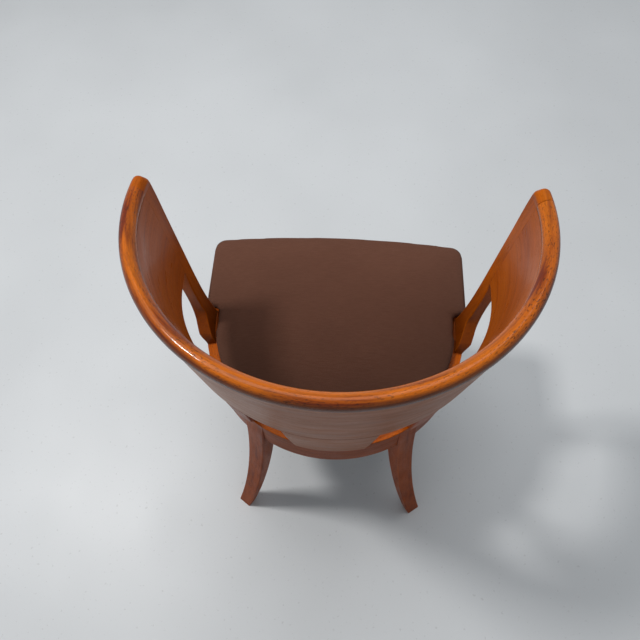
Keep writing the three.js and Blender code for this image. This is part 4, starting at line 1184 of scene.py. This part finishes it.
def rails():
    section = rail_section(RAIL_RADIUS)
    rings = []
    for share in spread(-1, 1, 1 / BACK_RAIL_STEPS):
        rings.append([polar(share * leg_face_angle(r, z, -1), r, z) for r, z in section])
    woods = [RAIL_WOOD, PAINTED_LIGHT_LEDGE_WOOD]
    back = wooden("back_seat_rail", rings, woods, "seat_rail_back")
    grain_round(back, 0.05)
    rings = []
    for share in spread(0, 1, 1 / SIDE_RAIL_STEPS):
        rings.append([polar(mix(leg_face_angle(r, z, 1), 90, share), r, z) for r, z in section])
    for share in spread(0, 1, 1 / STRAIGHT_RAIL_STEPS)[1:]:
        ring = []
        for r, z in section:
            width, _, middle_y = front_leg_sizes(z)
            ring.append((r, share * (middle_y + width / 2 + GAP), z))
        rings.append(ring)
    # The tops of the rails take the brighter wood of painted light from above.
    for rail in [back] + both_sides("seat_rail", rings, woods, "seat_rail", grain_round, 0.43):
        paint_light_on_ledge(rail)
        finish(rail)
    section = rail_section(BOW_RADIUS)
    rings = []
    for share in spread(-1, 1, 1 / FRONT_RAIL_STEPS):
        ring = []
        for r, z in section:
            width, middle_x, _ = front_leg_sizes(z)
            x = share * (middle_x - width / 2 - GAP)
            ring.append((x, BOW_CENTRE - math.sqrt(r ** 2 - x ** 2), z))
        rings.append(ring)
    front = wooden("front_seat_rail", rings, RAIL_WOOD, "seat_rail_front")
    grain_across(front, 0.6)
    finish(front)


# Cushion
COVER_RADIUS = RAIL_RADIUS - COVER_INSET
COVER_NOTCH_RADIUS = RAIL_RADIUS - COVER_NOTCH_INSET
COVER_FRONT_X = RAIL_RADIUS + COVER_OVERHANG
COVER_LEAD = arm_front(RAIL_TOP) + 2
COVER_MIDDLE = (0, (COVER_RADIUS - FRONT_DEPTH) / 2)
NOTCH_TURNS = (2, 7)
COVER_ARC_STEP = 4
COVER_CORNER_STEP = 15
COVER_BOW_STEPS = 6
COVER_CORNER_X = COVER_FRONT_X - COVER_CORNER_RADIUS
COVER_CORNER_Y = bow_reach(COVER_CORNER_X, -COVER_OVERHANG) - COVER_CORNER_RADIUS
COVER_SHARES = [
    (0.999, 0), (1.002, 0.1), (1.002, 0.26), (0.994, 0.38), (0.975, 0.47), (0.94, 0.55), (0.87, 0.66),
    (0.77, 0.77), (0.64, 0.87), (0.48, 0.94), (0.28, 0.985), (0.08, 1),
]


def cover_corner(angle):
    """Place on the front corner of the cover's outline, and the direction out of it."""
    out = (math.cos(math.radians(angle)), -math.sin(math.radians(angle)))
    x = COVER_CORNER_X + COVER_CORNER_RADIUS * out[0]
    return (x, -COVER_CORNER_Y + COVER_CORNER_RADIUS * out[1]), out


def cover_half():
    """Outline of the cushion's right half, from the middle of the back to that of the front."""
    arc = spread(0, COVER_NOTCH_REAR_ANGLE, COVER_ARC_STEP)
    outline = [polar(a, COVER_RADIUS, 0)[:2] for a in arc]
    outline += [polar(COVER_NOTCH_REAR_ANGLE + a, COVER_NOTCH_RADIUS, 0)[:2] for a in NOTCH_TURNS]
    outline += [
        (COVER_NOTCH_RADIUS, -COVER_LEAD),
        (COVER_NOTCH_RADIUS + COVER_OVERHANG * 2, -COVER_LEAD - COVER_OVERHANG / 2),
        (COVER_FRONT_X - COVER_OVERHANG, -COVER_LEAD - COVER_OVERHANG * 1.4),
        (COVER_FRONT_X, -COVER_LEAD - COVER_OVERHANG * 3.6),
    ]
    straight = spread(COVER_LEAD + COVER_OVERHANG * 8, COVER_CORNER_Y, COVER_OVERHANG * 6)
    outline += [(COVER_FRONT_X, -y) for y in straight]
    outline += [cover_corner(a)[0] for a in spread(0, 90, COVER_CORNER_STEP)[1:]]
    bow = spread(COVER_CORNER_X, 0, COVER_CORNER_X / COVER_BOW_STEPS)[1:]
    outline += [(x, -bow_reach(x, -COVER_OVERHANG)) for x in bow]
    return outline


COVER_SIDE = cover_half()
COVER_OUTLINE = COVER_SIDE + [(-x, y) for x, y in reversed(COVER_SIDE[1:-1])]


def plain_point(point):
    """Where a point of the outline goes on the crown, which has no notch for the arm."""
    x, y = point
    if abs(x) < COVER_NOTCH_RADIUS * 0.8 or y < -COVER_EASE:
        return point
    arc_x = math.sqrt(COVER_RADIUS ** 2 - max(y, 0) ** 2)
    share = ease(-COVER_EASE / 2, COVER_EASE, -y)
    return (math.copysign(mix(arc_x, COVER_FRONT_X, share), x), y)


COVER_PLAIN = [plain_point(p) for p in COVER_OUTLINE]


def cover_ring(scale, up):
    fade = ease(COVER_SHARES[2][1], COVER_SHARES[7][1], up)
    height = RAIL_TOP + GAP + up * (COVER_CROWN - GAP)
    ring = []
    for edge, plain in zip(COVER_OUTLINE, COVER_PLAIN):
        x, y = mix(edge[0], plain[0], fade), mix(edge[1], plain[1], fade)
        reach = math.hypot(x - COVER_MIDDLE[0], y - COVER_MIDDLE[1])
        factor = scale * (1 - GAP / reach)
        ring.append((
            COVER_MIDDLE[0] + (x - COVER_MIDDLE[0]) * factor,
            COVER_MIDDLE[1] + (y - COVER_MIDDLE[1]) * factor,
            height,
        ))
    return ring


CUSHION_MESH_SIZE = 5


def cushion():
    rings = [cover_ring(scale, up) for scale, up in COVER_SHARES]
    pad = lofted("seat_cushion", rings, FABRIC, ["seat_cover"])
    remesh = pad.modifiers.new("remesh", "REMESH")
    remesh.mode = "VOXEL"
    remesh.voxel_size = CUSHION_MESH_SIZE * MM
    bake(pad)
    simulate(pad)
    finer = pad.modifiers.new("finer", "SUBSURF")
    finer.levels = finer.render_levels = 1
    bake(pad)
    pad.data.shade_smooth()
    attribute(pad, "grain", positions(pad.data))


SKIRT_STEP = 8
SKIRT_ARC_STEP = 6
# depth behind the cover's outline and height over the rails
SKIRT_CORNERS = [
    (0.3, -COVER_SKIRT_DROP), (0.3, 4), (3.5, 14), (6, 14), (4, 1), (3.9, -COVER_SKIRT_DROP),
]
SKIRT_ROUNDS = [1.7, 5, 0.8, 0.8, 1, 1.7]
SKIRT_SHARP_ANGLE = 60


def skirt():
    """Band of the cover that comes down over the frame in front and at the sides."""
    straight = spread(COVER_LEAD + COVER_OVERHANG * 4, COVER_CORNER_Y, SKIRT_STEP)
    path = [((COVER_FRONT_X, -y), (1, 0)) for y in straight]
    path += [cover_corner(a) for a in spread(0, 90, SKIRT_ARC_STEP)[1:]]
    for x in spread(COVER_CORNER_X, 0, SKIRT_STEP)[1:]:
        out = (x / BOW_RADIUS, -math.sqrt(1 - (x / BOW_RADIUS) ** 2))
        path.append(((x, -bow_reach(x, -COVER_OVERHANG)), out))
    path += [((-x, y), (-a, b)) for (x, y), (a, b) in reversed(path[:-1])]
    corners = [(depth, RAIL_TOP + up) for depth, up in SKIRT_CORNERS]
    section = rounded(corners, SKIRT_ROUNDS, sides=[10, 4, 1, 4, 8, 1])
    rings = [
        [(x - out_x * depth, y - out_y * depth, z) for depth, z in section]
        for (x, y), (out_x, out_y) in path
    ]
    band = lofted("cushion_skirt", rings, FABRIC, ["seat_cover"])
    smooth(band, SKIRT_SHARP_ANGLE)
    co = positions(band.data)
    attribute(band, "grain", np.stack([co[:, 0] + co[:, 1], co[:, 2], co[:, 1]], 1))


def shown_mesh(piece):
    """Copy of the mesh with its modifiers applied."""
    return bpy.data.meshes.new_from_object(piece.evaluated_get(bpy.context.evaluated_depsgraph_get()))


def bake(piece):
    """Puts the result of the modifiers into the mesh."""
    mesh = shown_mesh(piece)
    piece.modifiers.clear()
    old = piece.data
    piece.data = mesh
    bpy.data.meshes.remove(old)


SWELL_PRESSURE = 4
SWELL_FRAMES = 20
SWELL_LIMIT = 6
SWELL_START_SHARE = 0.35
SWELL_RISE_SHARE = 0.3


def simulate(pad):
    """Swells the cushion as stuffed cloth, and keeps each point near where it began.

    The sides and the bottom stay in place, and no point rises by more than a gap.
    """
    start = positions(pad.data)
    cloth = pad.modifiers.new("cloth", "CLOTH")
    cloth.settings.use_pressure = True
    cloth.settings.uniform_pressure_force = SWELL_PRESSURE
    cloth.settings.effector_weights.gravity = 0
    for frame_number in range(1, SWELL_FRAMES + 1):
        scene.frame_set(frame_number)
    swollen = shown_mesh(pad)
    move = positions(swollen) - start
    far = np.linalg.norm(move, axis=1, keepdims=True)
    move *= np.minimum(1, SWELL_LIMIT * MM / np.maximum(far, 1e-9))
    up = (start[:, 2:] / MM - RAIL_TOP) / COVER_CROWN
    moved = start + move * np.clip((up - SWELL_START_SHARE) / SWELL_RISE_SHARE, 0, 1)
    moved[:, 2] = np.minimum(moved[:, 2], start[:, 2] + GAP * MM)
    pad.modifiers.clear()
    pad.data.vertices.foreach_set("co", moved.astype(np.float32).ravel())
    pad.data.update()
    bpy.data.meshes.remove(swollen)
    scene.frame_set(1)


# Cloth and straps under the cushion
SEAT_ARC_STEP = 4
SEAT_BOW_STEPS = 5


def seat_outline(inset, step=SEAT_ARC_STEP):
    radius = RAIL_RADIUS - inset
    back = [polar(a, radius, 0)[:2] for a in spread(90, -90, step)]
    front = [(x, -bow_reach(x, inset)) for x in spread(-radius, radius, radius / SEAT_BOW_STEPS)]
    return back + front


SHEET_EDGE = 0.4
SHEET_LEVEL_SHARES = ((0, 1), (0.35, 0), (0.65, 0), (1, 1))


def flat_sheet(name, outline, bottom, thickness, material, node):
    """Level cloth or strap through an outline, with its edges eased."""
    outline = [np.array(p) for p in outline]
    middle = np.mean(outline, axis=0)
    rings = []
    for level, inward in SHEET_LEVEL_SHARES:
        ring = []
        for p in outline:
            x, y = p - (p - middle) / np.linalg.norm(p - middle) * SHEET_EDGE * inward
            ring.append((x, y, bottom + level * thickness))
        rings.append(ring)
    sheet = lofted(name, rings, material, [node])
    smooth(sheet)
    attribute(sheet, "grain", positions(sheet.data))
    return sheet


HESSIAN_MARGIN = 4
CROSS_STRAPS = 5
LENGTH_STRAP_PLACES = (-1.5, -0.5, 0.5, 1.5)


def strap(kind, number, low_x, low_y, high_x, high_y, bottom):
    outline = [(low_x, low_y), (high_x, low_y), (high_x, high_y), (low_x, high_y)]
    flat_sheet(
        f"{kind}_strap_{number}", outline, bottom, STRAP_THICKNESS,
        WEBBING, f"webbing_{kind}_{number}",
    )


def under_cloth():
    """Hessian and the straps under it, in the rails' rebate."""
    inset = RAIL_THICKNESS - REBATE_WIDTH + GAP * 3 + HESSIAN_MARGIN
    hessian = flat_sheet(
        "hessian_sheet", seat_outline(inset), RAIL_TOP - HESSIAN_THICKNESS, HESSIAN_THICKNESS,
        HESSIAN, "seat_hessian",
    )
    strap_inset = RAIL_THICKNESS - REBATE_WIDTH + GAP * 5
    reach = RAIL_RADIUS - strap_inset

    def round_at(offset):
        return math.sqrt(reach ** 2 - offset ** 2)
    pitch = (FRONT_LEG_REAR + reach) / CROSS_STRAPS
    for k in range(CROSS_STRAPS):
        y = (k + 0.5) * pitch - FRONT_LEG_REAR
        low, high = y - STRAP_WIDTH / 2, y + STRAP_WIDTH / 2
        half = round_at(max(0, high))
        strap("cross", k + 1, -half, low, half, high, REBATE_FLOOR + GAP)
    for k, share in enumerate(LENGTH_STRAP_PLACES):
        x = share * STRAP_SPACING_SHARE * reach
        low, high = x - STRAP_WIDTH / 2, x + STRAP_WIDTH / 2
        edge = abs(x) + STRAP_WIDTH / 2
        front, rear = -bow_reach(edge, strap_inset), round_at(edge)
        strap("length", k + 1, low, front, high, rear, REBATE_FLOOR + 2 * GAP + STRAP_THICKNESS)


CUTTER_REACH = 8


def dust_cover():
    """Cloth under the seat frame, cut out around the legs."""
    top = RAIL_FOOT - GAP
    sheet = flat_sheet(
        "dust_sheet", seat_outline(DUST_INSET), top - DUST_THICKNESS, DUST_THICKNESS,
        DUST_CLOTH, "dust_cover",
    )
    cutters = []
    for side, _ in SIDES:
        for ring in (leg_ring, front_leg_ring):
            levels = (top - CUTTER_REACH, top + CUTTER_REACH)
            points = [(x * side, y, z) for level in levels for x, y, z in ring(level, -1)]
            faces = loft_faces(len(levels), len(points) // len(levels))
            cutters.append(closed_body("cutter", place(points), faces))
    for cutter in cutters:
        trim = sheet.modifiers.new("trim", "BOOLEAN")
        trim.operation = "DIFFERENCE"
        trim.solver = "EXACT"
        trim.object = cutter
    bake(sheet)
    for cutter in cutters:
        bpy.data.objects.remove(cutter)


TACK_SPACING = 38
TACK_RADIUS = 3.4
TACK_INSET = 5
TACK_SIDES = 12
TACK_DOME_SHARE = 0.35
TACK_TURNS = (90, 80, 55, 25)
LEG_CLEARANCE_SHARE = 0.8


def dust_tacks():
    """Domed heads of the tacks that hold the dust cover to the rails."""
    outline = [np.array(p) for p in seat_outline(DUST_INSET + TACK_INSET, 2)]
    middles = (leg_middle(RAIL_FOOT)[0], np.array(front_leg_sizes(RAIL_FOOT)[1:]))
    legs = [middle * (side, 1) for side, _ in SIDES for middle in middles]
    points, faces, travelled = [], [], 0.0
    for here, following in zip(outline, outline[1:] + outline[:1]):
        travelled += np.linalg.norm(following - here)
        if travelled < TACK_SPACING:
            continue
        travelled = 0.0
        if min(np.linalg.norm(following - leg) for leg in legs) < REAR_LEG_DEPTH * LEG_CLEARANCE_SHARE:
            continue
        faces += loft_faces(len(TACK_TURNS), TACK_SIDES, len(points))
        x, y = following
        for turn in map(math.radians, TACK_TURNS):
            reach = TACK_RADIUS * math.sin(turn)
            level = RAIL_FOOT - GAP - DUST_THICKNESS - TACK_RADIUS * TACK_DOME_SHARE * math.cos(turn)
            for k in range(TACK_SIDES):
                around = 2 * math.pi * k / TACK_SIDES
                points.append((x + reach * math.cos(around), y + reach * math.sin(around), level))
    tacks = new_piece("dust_cover_tacks", place(points), faces, STEEL)
    smooth(tacks)


crest_boards()
crest_caps()
arm_supports()
back_splat()
rear_legs()
front_legs()
rails()
cushion()
skirt()
under_cloth()
dust_cover()
dust_tacks()

# The joinery that stays as it is in the frame gets its own finish
for name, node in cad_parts.items():
    if node.hide_render:
        continue
    node.data.materials.clear()
    node.data.materials.append(STEEL if "screw" in name else PLAIN_WOOD)
